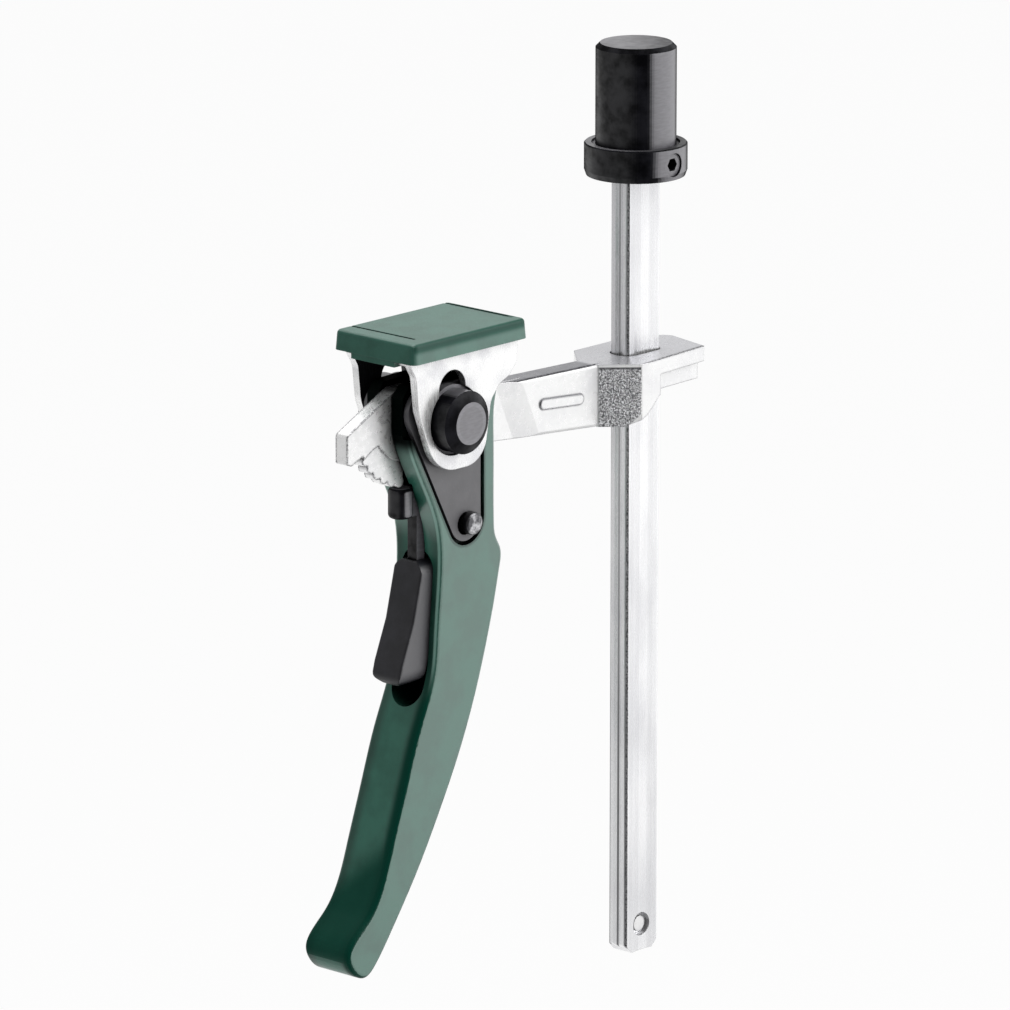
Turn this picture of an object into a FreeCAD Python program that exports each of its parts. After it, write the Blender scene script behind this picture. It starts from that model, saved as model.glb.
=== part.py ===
import FreeCAD, Part
import math
import os
import Sketcher

# Quick release bar clamp for a work table, millimetres.
# Origin: bar axis at the seat of the peg's flange. +Z up along peg and bar,
# +X from the lever head towards the bar, -Y the side with the set screw.

V = FreeCAD.Vector
doc = FreeCAD.newDocument("bar_clamp")
sheet = doc.addObject("Spreadsheet::Sheet", "sizes")

NAMED_SIZES = [
    # flat bar
    ("bar_width", 12.0),
    ("bar_thick", 6.0),
    ("bar_drop", 206.5),
    ("bar_in_peg", 13.0),
    ("bar_groove_half", 0.6),
    ("bar_groove_deep", 0.45),
    ("bar_bead_fall", 0.3),
    ("bar_shoulder", 0.55),
    ("bar_hollow_half", 3.6),
    ("bar_hollow_deep", 0.3),
    ("bar_end_chamfer", 2.3),
    ("bar_socket_gap", 0.1),
    # stop pin near the bar's foot
    ("stop_from_end", 6.7),
    ("stop_pin_radius", 2.0),
    ("stop_head_radius", 2.9),
    ("stop_head_high", 1.5),
    ("stop_sink", 0.9),
    ("stop_well_deep", 2.4),
    ("stop_sink_radius", 3.0),
    ("fit_gap", 0.02),
    # peg and flange
    ("peg_radius", 9.95),
    ("peg_high", 24.7),
    ("peg_chamfer", 1.1),
    ("flange_radius", 12.7),
    ("flange_thick", 8.1),
    ("flange_low_chamfer", 0.5),
    ("flange_low_taper", 1.4),
    ("flange_top_round", 0.3),
    ("foot_groove_wide", 0.95),
    ("foot_groove_deep", 0.5),
    # set screw
    ("screw_radius", 2.9),
    ("screw_drop", 4.2),
    ("screw_sink", 0.8),
    ("screw_hex_flats", 3.0),
    ("screw_hex_deep", 2.6),
    ("screw_mouth_gap", 0.05),
    # fulcrum and bracket axis
    ("hinge_reach", 83.5),
    ("hinge_drop", 52.1),
    ("axis_ahead", 7.1),
    ("axis_below", 2.5),
    # sliding arm
    ("web_half", 3.3),
    ("web_round", 1.0),
    ("web_top_front", 51.3),
    ("web_top_back", 52.5),
    ("web_low_front", 65.5),
    ("web_low_back", 68.6),
    ("web_start", 46.0),
    ("web_run_out", 8.0),
    ("web_slant", 8.4),
    ("web_end", 15.0),
    ("tongue_half", 1.9),
    ("tongue_top_high", 1.0),
    ("boss_top", 52.6),
    ("boss_low", 68.3),
    ("boss_tail_low", 61.2),
    ("boss_flange_thick", 3.7),
    ("boss_tail_half", 7.0),
    ("boss_half", 11.3),
    ("boss_nose", 17.5),
    ("boss_tail", 18.1),
    ("boss_tail_start", -3.0),
    ("boss_neck_end", 15.4),
    ("arm_hole_gap", 0.9),
    ("arm_hole_round", 3.2),
    ("pill_start", 38.5),
    ("pill_end", 22.8),
    ("pill_half_high", 1.3),
    ("pill_proud", 0.45),
    ("pill_drop_front", 59.0),
    ("pill_drop_back", 60.1),
    # toothed sector and tab
    ("tooth_tip_radius", 19.0),
    ("tooth_round", 1.38),
    ("tooth_root_radius", 18.1),
    ("tooth_first_angle", 9.5),
    ("tooth_pitch_angle", 9.1),
    ("sector_end_angle", 6.6),
    ("sector_step_radius", 12.6),
    ("sector_step_deep", 0.35),
    ("tab_reach", 21.4),
    ("tab_high", 7.6),
    ("tab_drop", 2.8),
    ("tab_root", 16.6),
    ("hub_top", 5.9),
    ("hub_ahead", 3.5),
    ("bush_radius", 4.3),
    ("bush_wall_gap", 0.05),
    # fulcrum pin and rings
    ("fulcrum_radius", 3.0),
    ("ring_radius", 4.8),
    ("ring_thick", 0.4),
    # lever handle
    ("handle_half", 7.5),
    ("handle_edge_share", 0.04),
    ("handle_reach", 27.2),
    ("handle_length", 136.5),
    ("ear_front", 6.3),
    ("ear_top", 7.6),
    ("ear_round", 2.2),
    ("ear_half", 5.8),
    ("ledge_drop", 5.7),
    ("slot_half", 2.4),
    ("sector_clear", 0.6),
    ("tongue_slot_low", 13.9),
    ("spring_well_front", 6.0),
    ("spring_well_back", 11.4),
    ("spring_well_low", 34.4),
    ("recess_half", 5.1),
    ("recess_top", 35.4),
    ("recess_low", 74.0),
    ("recess_floor", 14.6),
    ("recess_knee", 46.0),
    ("recess_floor_low", 10.0),
    # side plates
    ("plate_thick", 1.5),
    ("plate_gap", 1.0),
    ("plate_back", 19.45),
    ("plate_top", 5.9),
    ("plate_front", 9.7),
    ("plate_apex", 50.9),
    ("plate_lobe", 5.9),
    ("plate_corner", 5.0),
    ("plate_foot", 5.3),
    ("rivet_ahead", 15.3),
    ("rivet_drop", 29.9),
    ("rivet_radius", 2.8),
    ("rivet_proud", 2.2),
    ("rivet_dome", 0.7),
    ("rivet_hole_left", 1.2),
    # bracket studs
    ("stud_spigot_radius", 4.0),
    ("stud_spigot_end", 2.7),
    ("stud_journal_radius", 8.55),
    ("stud_head_start", 9.4),
    ("stud_head_radius", 7.7),
    ("stud_head_end", 15.7),
    ("stud_chamfer", 1.5),
    ("stud_face_radius", 5.2),
    # pressure bracket
    ("bracket_half", 10.5),
    ("bracket_sheet", 2.0),
    ("bracket_top", 35.0),
    ("bracket_bore_gap", 0.07),
    ("bracket_lobe", 9.05),
    ("bracket_lobe_drop", 3.1),
    ("bracket_front_top", 13.4),
    ("bracket_front_flare", 15.8),
    ("bracket_back_top", 22.1),
    ("bracket_back_mid", 10.05),
    ("keyhole_slot", 4.65),
    ("keyhole_rise", 7.85),
    ("keyhole_ahead", 1.0),
    ("bracket_web_back", 20.0),
    # pad cap
    ("cap_half", 13.3),
    ("cap_top", 33.0),
    ("cap_front", 17.3),
    ("cap_back", 22.9),
    ("cap_skirt", 4.9),
    ("cap_flare", 0.3),
    ("cap_fit", 0.2),
    ("cap_corner", 1.6),
    ("cap_edge", 1.0),
    ("cap_groove_wide", 0.9),
    ("cap_groove_deep", 0.5),
    ("cap_groove_front", 4.9),
    ("cap_groove_back", 1.5),
    ("cap_groove_stop", 8.5),
    ("cap_lip_low", 6.3),
    ("cap_lip_far", 7.5),
    ("cap_lip_near", 6.6),
    # pawl
    ("pawl_radius", 3.0),
    ("pawl_gap", 0.3),
    ("pawl_foot", 26.9),
    ("pawl_round", 1.1),
    ("pawl_ahead", 1.0),
    ("blade_half", 1.5),
    ("blade_top", 20.7),
    ("blade_back", 10.9),
    ("blade_hook_low", 27.1),
    ("blade_stem_front", 3.1),
    ("blade_stem_back", 5.8),
    ("blade_foot", 42.4),
    ("guide_ahead", 7.9),
    ("guide_drop", 23.9),
    ("guide_radius", 1.0),
    ("guide_gap", 0.15),
    ("pawl_travel", 1.5),
    ("link_ahead", 4.4),
    ("link_drop", 41.0),
    ("link_radius", 0.8),
    ("link_half", 3.8),
    ("link_gap", 0.3),
    # coil spring
    ("coil_radius", 1.55),
    ("coil_wire", 0.3),
    ("coil_turns", 5.0),
    ("coil_seat_gap", 0.05),
    ("coil_ahead", 8.85),
    # trigger
    ("trigger_half", 4.75),
    ("trigger_pivot_ahead", 11.2),
    ("trigger_pivot_drop", 41.4),
    ("trigger_pin_radius", 1.5),
    ("trigger_pin_gap", 0.05),
    ("trigger_pin_half", 6.4),
    ("trigger_length", 30.6),
    ("trigger_reach", 17.8),
    ("trigger_edge", 0.7),
    ("trigger_end_round", 4.0),
    ("trigger_fork_half", 1.8),
    ("trigger_fork_deep", 44.4),
    ("trigger_fork_front", 2.3),
    ("trigger_fork_back", 7.0),
    # shared overrun for cuts
    ("overrun", 2.0),
]

for row, (name, value) in enumerate(NAMED_SIZES, start=1):
    sheet.set("A%d" % row, name)
    sheet.set("B%d" % row, str(value))
    sheet.setAlias("B%d" % row, name)
doc.recompute()


def size(name):
    return float(sheet.get(name))


def mix(**shares):
    """A place as a sum of named sizes, with the expression that keeps it bound."""
    value = sum(size(name) * share for name, share in shares.items())
    text = " + ".join("sizes.%s * (%r)" % (name, share) for name, share in shares.items())
    return value, text


NONE = (0.0, "0")


def add(kind, name, **bound):
    """An object of the document whose properties follow cells of the sheet."""
    item = doc.addObject(kind, name)
    item.Label = name
    for prop, (value, text) in bound.items():
        setattr(item, prop, value)
        item.setExpression(prop, text)
    return item


def place(item, x=NONE, y=NONE, z=NONE, axis=None, turn=0.0):
    """Places an object and binds the three coordinates to the sheet."""
    spin = FreeCAD.Rotation(axis, turn) if axis else FreeCAD.Rotation()
    item.Placement = FreeCAD.Placement(V(x[0], y[0], z[0]), spin)
    item.setExpression("Placement.Base.x", x[1])
    item.setExpression("Placement.Base.y", y[1])
    item.setExpression("Placement.Base.z", z[1])
    return item


def rod(name, radius, start, end, x=NONE, z=NONE):
    """A cylinder along Y from start to end, both bound."""
    long = (end[0] - start[0], "(%s) - (%s)" % (end[1], start[1]))
    item = add("Part::Cylinder", name, Radius=radius, Height=long)
    return place(item, x, end, z, V(1, 0, 0), 90.0)


def block(name, x0, x1, y0, y1, z0, z1):
    """A box between bound faces."""
    faces = ((x0, x1), (y0, y1), (z0, z1))
    spans = [(b[0] - a[0], "(%s) - (%s)" % (b[1], a[1])) for a, b in faces]
    item = add("Part::Box", name, Length=spans[0], Width=spans[1], Height=spans[2])
    return place(item, x0, y0, z0)


def cut(name, base, *tools):
    """The base less its tools."""
    item = doc.addObject("Part::Cut", name)
    item.Label = name
    item.Base = base
    if len(tools) == 1:
        item.Tool = tools[0]
    else:
        group = doc.addObject("Part::MultiFuse", name + "_cutters")
        group.Shapes = list(tools)
        item.Tool = group
    return item


def join(name, *shapes):
    item = doc.addObject("Part::MultiFuse", name)
    item.Label = name
    item.Shapes = list(shapes)
    item.Refine = True
    return item


def corner_sketch(owner, name, points, role=None, shift=None):
    """A closed outline of straight lines; every corner is bound to the sheet."""
    if owner is None:
        sketch = doc.addObject("Sketcher::SketchObject", name)
    else:
        sketch = owner.newObject("Sketcher::SketchObject", name)
        plane = [f for f in owner.Origin.OriginFeatures if f.Role == role][0]
        sketch.AttachmentSupport = (plane, [""])
        sketch.MapMode = "FlatFace"
        if shift is not None:
            sketch.setExpression(".AttachmentOffset.Base.z", shift[1])
    count = len(points)
    for index, (across, up) in enumerate(points):
        after = points[(index + 1) % count]
        line = Part.LineSegment(V(across[0], up[0], 0), V(after[0][0], after[1][0], 0))
        sketch.addGeometry(line, False)
    for index in range(count):
        sketch.addConstraint(Sketcher.Constraint("Coincident", index, 2, (index + 1) % count, 1))
    for index, (across, up) in enumerate(points):
        for kind, spot in (("DistanceX", across), ("DistanceY", up)):
            number = sketch.addConstraint(Sketcher.Constraint(kind, index, 1, spot[0]))
            if spot[1] != "0":
                sketch.setExpression("Constraints[%d]" % number, spot[1])
    return sketch


def edges_where(shape, test):
    """Names of the edges whose ends both pass a test."""
    found = []
    for number, edge in enumerate(shape.Edges, start=1):
        if all(test(vertex.Point) for vertex in edge.Vertexes):
            found.append("Edge%d" % number)
    return found


def near(a, b):
    return abs(a - b) < size("fit_gap")


# Helpers for cast and bent outlines.


def rounded(points, radii):
    """A closed wire in the XZ plane through corner points, each with its own radius."""
    spots = [V(x, 0, z) for x, z in points]
    pieces = []
    starts = []
    ends = []
    count = len(spots)
    for index, spot in enumerate(spots):
        before = (spots[index - 1] - spot).normalize()
        after = (spots[(index + 1) % count] - spot).normalize()
        radius = radii[index]
        if radius <= 0:
            starts.append(spot)
            ends.append(spot)
            pieces.append(None)
            continue
        half = before.getAngle(after) / 2
        back = radius / math.tan(half)
        middle = (before + after).normalize()
        centre = spot + middle * (radius / math.sin(half))
        first = spot + before * back
        last = spot + after * back
        top = centre - middle * radius
        starts.append(first)
        ends.append(last)
        pieces.append(Part.Arc(first, top, last).toShape())
    edges = []
    for index in range(count):
        if pieces[index] is not None:
            edges.append(pieces[index])
        start = ends[index]
        stop = starts[(index + 1) % count]
        if (start - stop).Length > size("fit_gap") * 0.005:
            edges.append(Part.LineSegment(start, stop).toShape())
    return Part.Wire(edges)


def slab(wire, low, high):
    """The inside of an XZ outline between two Y planes."""
    face = Part.Face(wire)
    face.translate(V(0, low, 0))
    return face.extrude(V(0, high - low, 0))


def box(x0, x1, y0, y1, z0, z1):
    return Part.makeBox(x1 - x0, y1 - y0, z1 - z0, V(x0, y0, z0))


def round_bar(radius, low, high, x, z):
    return Part.makeCylinder(radius, high - low, V(x, low, z), V(0, 1, 0))


def feature(name, shape):
    """A cast or bent piece, its shape worked out from the sheet."""
    item = doc.addObject("Part::Feature", name)
    item.Label = name
    item.Shape = shape
    item.Placement = FreeCAD.Placement()
    return item


over = size("overrun")
hinge_x = -size("hinge_reach")
hinge_z = -size("hinge_drop")
stud_x = hinge_x + size("axis_ahead")
stud_z = hinge_z - size("axis_below")
HINGE_X = mix(hinge_reach=-1)
HINGE_Z = mix(hinge_drop=-1)
STUD_X = mix(hinge_reach=-1, axis_ahead=1)
STUD_Z = mix(hinge_drop=-1, axis_below=-1)

# Flat bar.

# One quarter of the section, from the groove between the beads round to the wide face's hollow.
bar = doc.addObject("PartDesign::Body", "bar_body")
quarter = [
    (mix(bar_width=0.5, bar_groove_deep=-1), NONE),
    (mix(bar_width=0.5, bar_bead_fall=-1), mix(bar_groove_half=1)),
    (mix(bar_width=0.5), mix(bar_groove_half=1, bar_thick=0.1)),
    (mix(bar_width=0.5), mix(bar_thick=0.5, bar_shoulder=-1.6)),
    (mix(bar_width=0.5, bar_bead_fall=-0.6), mix(bar_thick=0.5, bar_shoulder=-0.7)),
    (mix(bar_width=0.5, bar_shoulder=-1), mix(bar_thick=0.5)),
    (mix(bar_hollow_half=1), mix(bar_thick=0.5)),
    (mix(bar_hollow_half=0.7), mix(bar_thick=0.5, bar_hollow_deep=-0.8)),
    (mix(bar_hollow_half=0.3), mix(bar_thick=0.5, bar_hollow_deep=-1)),
]


def flip(spot):
    return -spot[0], "-(%s)" % spot[1]


section = [(a, b) for a, b in quarter]
section += [(flip(a), b) for a, b in reversed(quarter)]
section += [(flip(a), flip(b)) for a, b in quarter[1:]]
section += [(a, flip(b)) for a, b in reversed(quarter[1:])]
bar_sketch = corner_sketch(bar, "bar_section", section, "XY_Plane", mix(bar_drop=-1))
bar_pad = bar.newObject("PartDesign::Pad", "bar_pad")
bar_pad.Profile = bar_sketch
bar_pad.Length = size("bar_drop") + size("bar_in_peg")
bar_pad.setExpression("Length", "sizes.bar_drop + sizes.bar_in_peg")
bar_sketch.Visibility = False
doc.recompute()

STOP_Z = mix(bar_drop=-1, stop_from_end=1)
stop_bore = rod("stop_bore", mix(stop_pin_radius=1, fit_gap=1), mix(bar_thick=-1), mix(bar_thick=1),
                NONE, STOP_Z)
# A wider well on the near side leaves a ring round the pin's end.
stop_mouth = rod("stop_mouth", mix(stop_sink_radius=1), mix(bar_thick=-1),
                 mix(bar_thick=-0.5, stop_well_deep=1), NONE, STOP_Z)
bar_corners = []
for side in (1, -1):
    tip = corner_sketch(None, "bar_corner_%s" % ("back" if side > 0 else "front"), [
        (mix(bar_width=0.5 * side, bar_end_chamfer=-side), mix(bar_drop=-1)),
        (mix(bar_width=0.5 * side), mix(bar_drop=-1, bar_end_chamfer=1)),
        (mix(bar_width=0.5 * side, overrun=side), mix(bar_drop=-1, bar_end_chamfer=1)),
        (mix(bar_width=0.5 * side, overrun=side), mix(bar_drop=-1, overrun=-1)),
        (mix(bar_width=0.5 * side, bar_end_chamfer=-side), mix(bar_drop=-1, overrun=-1)),
    ])
    tip.Placement = FreeCAD.Placement(V(0, 0, 0), FreeCAD.Rotation(V(1, 0, 0), 90.0))
    wedge = add("Part::Extrusion", tip.Name + "_cutter",
                LengthFwd=mix(bar_thick=1), LengthRev=mix(bar_thick=1))
    wedge.Base = tip
    wedge.Dir = V(0, 1, 0)
    wedge.Solid = True
    bar_corners.append(wedge)
clamp_bar = cut("clamp_bar", bar, stop_bore, stop_mouth, *bar_corners)

# The stop pin fills its bore and has a head on the far side that ends the arm's way down.
stop_shank = rod("stop_shank", mix(stop_pin_radius=1), mix(bar_thick=-0.5, stop_sink=1),
                 mix(bar_thick=0.5, stop_head_high=1), NONE, STOP_Z)
stop_head = rod("stop_head", mix(stop_head_radius=1), mix(bar_thick=0.5),
                mix(bar_thick=0.5, stop_head_high=1), NONE, STOP_Z)
stop_pin = join("stop_pin", stop_shank, stop_head)

# Peg with flange.

peg_profile = corner_sketch(None, "peg_profile", [
    (NONE, mix(flange_thick=-1)),
    (mix(flange_radius=1, flange_low_chamfer=-1), mix(flange_thick=-1)),
    (mix(flange_radius=1), mix(flange_thick=-1, flange_low_taper=1)),
    (mix(flange_radius=1), mix(flange_top_round=-1)),
    (mix(flange_radius=1, flange_top_round=-1), NONE),
    (mix(peg_radius=1, foot_groove_wide=1), NONE),
    (mix(peg_radius=1, foot_groove_wide=1), mix(foot_groove_deep=-1)),
    (mix(peg_radius=1), mix(foot_groove_deep=-1)),
    (mix(peg_radius=1), mix(peg_high=1, peg_chamfer=-1)),
    (mix(peg_radius=1, peg_chamfer=-1), mix(peg_high=1)),
    (NONE, mix(peg_high=1)),
])
peg_profile.Placement = FreeCAD.Placement(V(0, 0, 0), FreeCAD.Rotation(V(1, 0, 0), 90.0))
peg_round = doc.addObject("Part::Revolution", "peg_round")
peg_round.Source = peg_profile
peg_round.Axis = V(0, 0, 1)
peg_round.Angle = 360.0
peg_round.Solid = True
peg_socket = block("peg_socket",
                   mix(bar_width=-0.5, bar_socket_gap=-1), mix(bar_width=0.5, bar_socket_gap=1),
                   mix(bar_thick=-0.5, bar_socket_gap=-1), mix(bar_thick=0.5, bar_socket_gap=1),
                   mix(flange_thick=-1, overrun=-1), mix(bar_in_peg=1, bar_socket_gap=1))
screw_hole = rod("screw_hole", mix(screw_radius=1, screw_mouth_gap=1), mix(flange_radius=-1, overrun=-1),
                 mix(bar_thick=-0.5), NONE, mix(screw_drop=-1))
bench_peg = cut("bench_peg", peg_round, peg_socket, screw_hole)

# Set screw: hexagon socket outwards, its tip on the bar's side.
screw_body = rod("screw_body", mix(screw_radius=1), mix(flange_radius=-1, screw_sink=1),
                 mix(bar_thick=-0.5, bar_socket_gap=-0.3), NONE, mix(screw_drop=-1))
screw_hex = add("Part::Prism", "screw_hex")
screw_hex.Polygon = 6
screw_hex.setExpression("Circumradius", "sizes.screw_hex_flats / sqrt(3)")
screw_hex.setExpression("Height", "sizes.screw_hex_deep + sizes.overrun")
place(screw_hex, NONE, mix(flange_radius=-1, screw_sink=1, screw_hex_deep=1), mix(screw_drop=-1),
      V(1, 0, 0), 90.0)
grub_screw = cut("grub_screw", screw_body, screw_hex)
doc.recompute()

# Sliding arm.

tongue = size("tongue_half")
web = size("web_half")
web_outline = [
    (-size("web_start") - size("web_run_out"), -size("web_top_front")),
    (-size("web_end"), -size("web_top_back")),
    (-size("web_end"), -size("web_low_back")),
    (-size("web_start") - size("web_run_out"), -size("web_low_front")),
]
# The web starts ahead of the slanted faces that thin it down to the tongue.
web_solid = slab(rounded(web_outline, [0, 0, 0, 0]), -web, web)
web_solid = web_solid.makeFillet(size("web_round"), [
    edge for edge in web_solid.Edges
    if abs(abs(edge.CenterOfMass.y) - web) < size("fit_gap") and edge.Length > size("web_run_out") * 2.5
])

# Tongue, hub, sector disc and tab in one plate.
tip_r = size("tooth_tip_radius")
root_r = size("tooth_root_radius")


def around(radius, angle):
    """A place around the fulcrum; the angle runs from straight down towards the lever's front."""
    turn = math.radians(angle)
    return hinge_x - radius * math.sin(turn), hinge_z - radius * math.cos(turn)


teeth_shares = [0, 1, 2, 3, 4, 5]
last_angle = size("tooth_first_angle") + teeth_shares[-1] * size("tooth_pitch_angle")
sector_points = [V(hinge_x, 0, hinge_z)]
first_edge = around(root_r, size("sector_end_angle"))
middle_edge = around(root_r, (size("sector_end_angle") + last_angle) / 2)
last_edge = around(root_r, last_angle + size("tooth_pitch_angle"))
sector_wire = Part.Wire([
    Part.LineSegment(V(hinge_x, 0, hinge_z), V(first_edge[0], 0, first_edge[1])).toShape(),
    Part.Arc(V(first_edge[0], 0, first_edge[1]), V(middle_edge[0], 0, middle_edge[1]),
             V(last_edge[0], 0, last_edge[1])).toShape(),
    Part.LineSegment(V(last_edge[0], 0, last_edge[1]), V(hinge_x, 0, hinge_z)).toShape(),
])
plate_solid = slab(sector_wire, -tongue, tongue)
for share in teeth_shares:
    tooth = around(tip_r - size("tooth_round"), size("tooth_first_angle") + share * size("tooth_pitch_angle"))
    plate_solid = plate_solid.fuse(round_bar(size("tooth_round"), -tongue, tongue, tooth[0], tooth[1]))
# A shallow step leaves the toothed rim thinner than the hub.
step_shallow = size("sector_step_deep")
rim_end = around(tip_r * 1.2, last_angle + size("tooth_pitch_angle") * 0.35)
rim_start = around(tip_r * 1.2, 0)
rim_mid = around(tip_r * 1.35, last_angle * 0.5)
rim_wire = Part.makePolygon([
    V(hinge_x, 0, hinge_z), V(rim_start[0], 0, rim_start[1]), V(rim_mid[0], 0, rim_mid[1]),
    V(rim_end[0], 0, rim_end[1]), V(hinge_x, 0, hinge_z)])
for side in (-1, 1):
    low = min(side * (tongue - step_shallow), side * (tongue + over))
    high = max(side * (tongue - step_shallow), side * (tongue + over))
    rim = slab(rim_wire, low, high)
    rim = rim.cut(round_bar(size("sector_step_radius"), low - over, high + over, hinge_x, hinge_z))
    plate_solid = plate_solid.cut(rim)
tab_top = hinge_z - size("tab_drop")
tab_low = tab_top - size("tab_high")
tab_shape = rounded([
    (hinge_x - size("hub_ahead"), hinge_z + size("hub_top")),
    (hinge_x - size("tab_reach"), tab_top),
    (hinge_x - size("tab_reach"), tab_low + size("tab_high") * 0.06),
    (hinge_x - size("tab_reach") * 0.93, tab_low),
    (hinge_x - size("tab_root"), tab_low + size("tab_high") * 0.19),
    (hinge_x - size("tab_root") * 0.55, tab_low + size("tab_high") * 0.5),
    (hinge_x, hinge_z - size("hub_top") * 0.5),
    (hinge_x + size("hub_ahead"), hinge_z + size("hub_top") * 0.75),
], [size("hub_top") * 0.4, size("tab_high") * 0.14, size("tab_high") * 0.08, size("tab_high") * 0.12,
    size("tab_high") * 0.1, 0, 0, 0])
plate_solid = plate_solid.fuse(slab(tab_shape, -tongue, tongue))
tongue_outline = [
    (hinge_x - size("hub_ahead"), hinge_z + size("hub_top")),
    (-size("web_start") - size("web_run_out"), -size("web_top_front") + size("tongue_top_high") * 0.3),
    (-size("web_start") + over, -size("web_top_front") - size("tongue_top_high") * 0.1),
    (-size("web_start") + over, -size("web_low_front") - size("tongue_top_high") * 0.9),
    (-size("web_start") - size("web_run_out"), -size("web_low_front")),
    (hinge_x + size("hub_ahead") * 2, hinge_z - size("tongue_slot_low") + size("tongue_top_high") * 1.6),
    (hinge_x, hinge_z - size("hub_top")),
]
tongue_wire = rounded(tongue_outline, [size("hub_top") * 0.7, 0, 0, 0, 0, 0, 0])
plate_solid = plate_solid.fuse(slab(tongue_wire, -tongue, tongue))
plate_solid = plate_solid.fuse(round_bar(size("hub_top"), -tongue, tongue, hinge_x, hinge_z))

# Boss on the bar: outline seen from above, cut to its stepped underside.
nose = -size("boss_nose")
tail = size("boss_tail")
half = size("boss_half")
plan_shares = [
    (-1.0, -0.30), (-0.565, -0.99), (-0.36, -1.01), (0.829, -0.867), (1.0, 0.32),
    (0.955, 0.50), (0.52, 0.96), (-0.60, 0.96), (-1.0, 0.32),
]
plan = []
for across, along in plan_shares:
    plan.append(V((tail if across > 0 else -nose) * across, half * along, 0))
boss_floor = -size("boss_low")
boss_roof = -size("boss_top")
boss_face = Part.Face(Part.makePolygon(plan + [plan[0]]))
boss_face.translate(V(0, 0, boss_floor))
boss = boss_face.extrude(V(0, 0, boss_roof - boss_floor))
upright = [
    edge for edge in boss.Edges
    if abs(edge.tangentAt(edge.FirstParameter).z) > 0.99
]
boss = boss.makeFillet(size("web_round") * 0.9, upright)
side_wire = rounded([
    (nose - over, boss_roof + over),
    (tail + over, boss_roof + over),
    (tail + over, -size("boss_tail_low")),
    (nose * 0.2, -size("boss_tail_low") - size("boss_flange_thick") * 0.1),
    (nose * 0.46, -size("boss_tail_low") - size("boss_flange_thick") * 1.2),
    (nose * 0.74, boss_floor),
    (nose - over, boss_floor),
], [0, 0, 0, size("web_round"), size("web_round"), size("web_round"), 0])
boss = boss.common(slab(side_wire, -half - over, half + over))
neck_low = boss_roof - size("boss_flange_thick")
for side in (-1, 1):
    low = min(side * size("boss_tail_half"), side * (half + over))
    high = max(side * size("boss_tail_half"), side * (half + over))
    boss = boss.cut(box(size("boss_tail_start"), tail + over, low, high, boss_floor - over, neck_low))
boss = boss.cut(box(size("boss_neck_end"), tail + over, -half, half, boss_floor - over, neck_low))
arm_solid = web_solid.fuse([plate_solid, boss])
# Slanted faces where the web thins down to the tongue.
for side in (-1, 1):
    ramp_front = -size("web_start") - size("web_run_out") - size("web_slant") - over
    ramp = Part.makePolygon([
        V(ramp_front, side * tongue, 0),
        V(-size("web_start") - size("web_run_out"), side * tongue, 0),
        V(-size("web_start"), side * web, 0),
        V(-size("web_start"), side * (web + over), 0),
        V(ramp_front, side * (web + over), 0),
        V(ramp_front, side * tongue, 0)])
    ramp_face = Part.Face(ramp)
    ramp_face.translate(V(0, 0, -size("web_top_front") + over))
    ramp_down = V(size("web_slant"), 0, size("web_top_front") - size("web_low_back") - over)
    arm_solid = arm_solid.cut(ramp_face.extrude(ramp_down))
# Long raised pill on the near side of the web.
pill_r = size("pill_half_high")
pill_a = V(-size("pill_start") + pill_r, -web - size("pill_proud"), -size("pill_drop_front"))
pill_b = V(-size("pill_end") - pill_r, -web - size("pill_proud"), -size("pill_drop_back"))
pill_axis = (pill_b - pill_a).normalize()
pill_up = V(0, 1, 0).cross(pill_axis) * pill_r
pill_wire = Part.Wire([
    Part.LineSegment(pill_a + pill_up, pill_b + pill_up).toShape(),
    Part.Arc(pill_b + pill_up, pill_b + pill_axis * pill_r, pill_b - pill_up).toShape(),
    Part.LineSegment(pill_b - pill_up, pill_a - pill_up).toShape(),
    Part.Arc(pill_a - pill_up, pill_a - pill_axis * pill_r, pill_a + pill_up).toShape(),
])
pill = Part.Face(pill_wire).extrude(V(0, size("pill_proud") + tongue, 0))
arm_solid = arm_solid.fuse(pill)
# Hole for the bar, with rounded corners.
hole_x = size("bar_width") / 2 + size("arm_hole_gap")
hole_y = size("bar_thick") / 2 + size("arm_hole_gap")
hole = box(-hole_x, hole_x, -hole_y, hole_y, boss_floor - over, boss_roof + over)
hole = hole.makeFillet(size("arm_hole_round"), [
    edge for edge in hole.Edges if abs(edge.tangentAt(edge.FirstParameter).z) > 0.99
])
arm_solid = arm_solid.cut(hole)
bush_seat = round_bar(size("bush_radius"), -tongue - over, tongue + over, hinge_x, hinge_z)
arm_solid = arm_solid.cut(bush_seat)
arm_solid = arm_solid.removeSplitter()
sliding_arm = feature("sliding_arm", arm_solid)

bush_out = rod("bush_out", mix(bush_radius=1), mix(tongue_half=-1), mix(tongue_half=1), HINGE_X, HINGE_Z)
bush_in = rod("bush_in", mix(fulcrum_radius=1, bush_wall_gap=1), mix(tongue_half=-1, overrun=-1),
              mix(tongue_half=1, overrun=1), HINGE_X, HINGE_Z)
fulcrum_bush = cut("fulcrum_bush", bush_out, bush_in)

# Lever handle.

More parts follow.
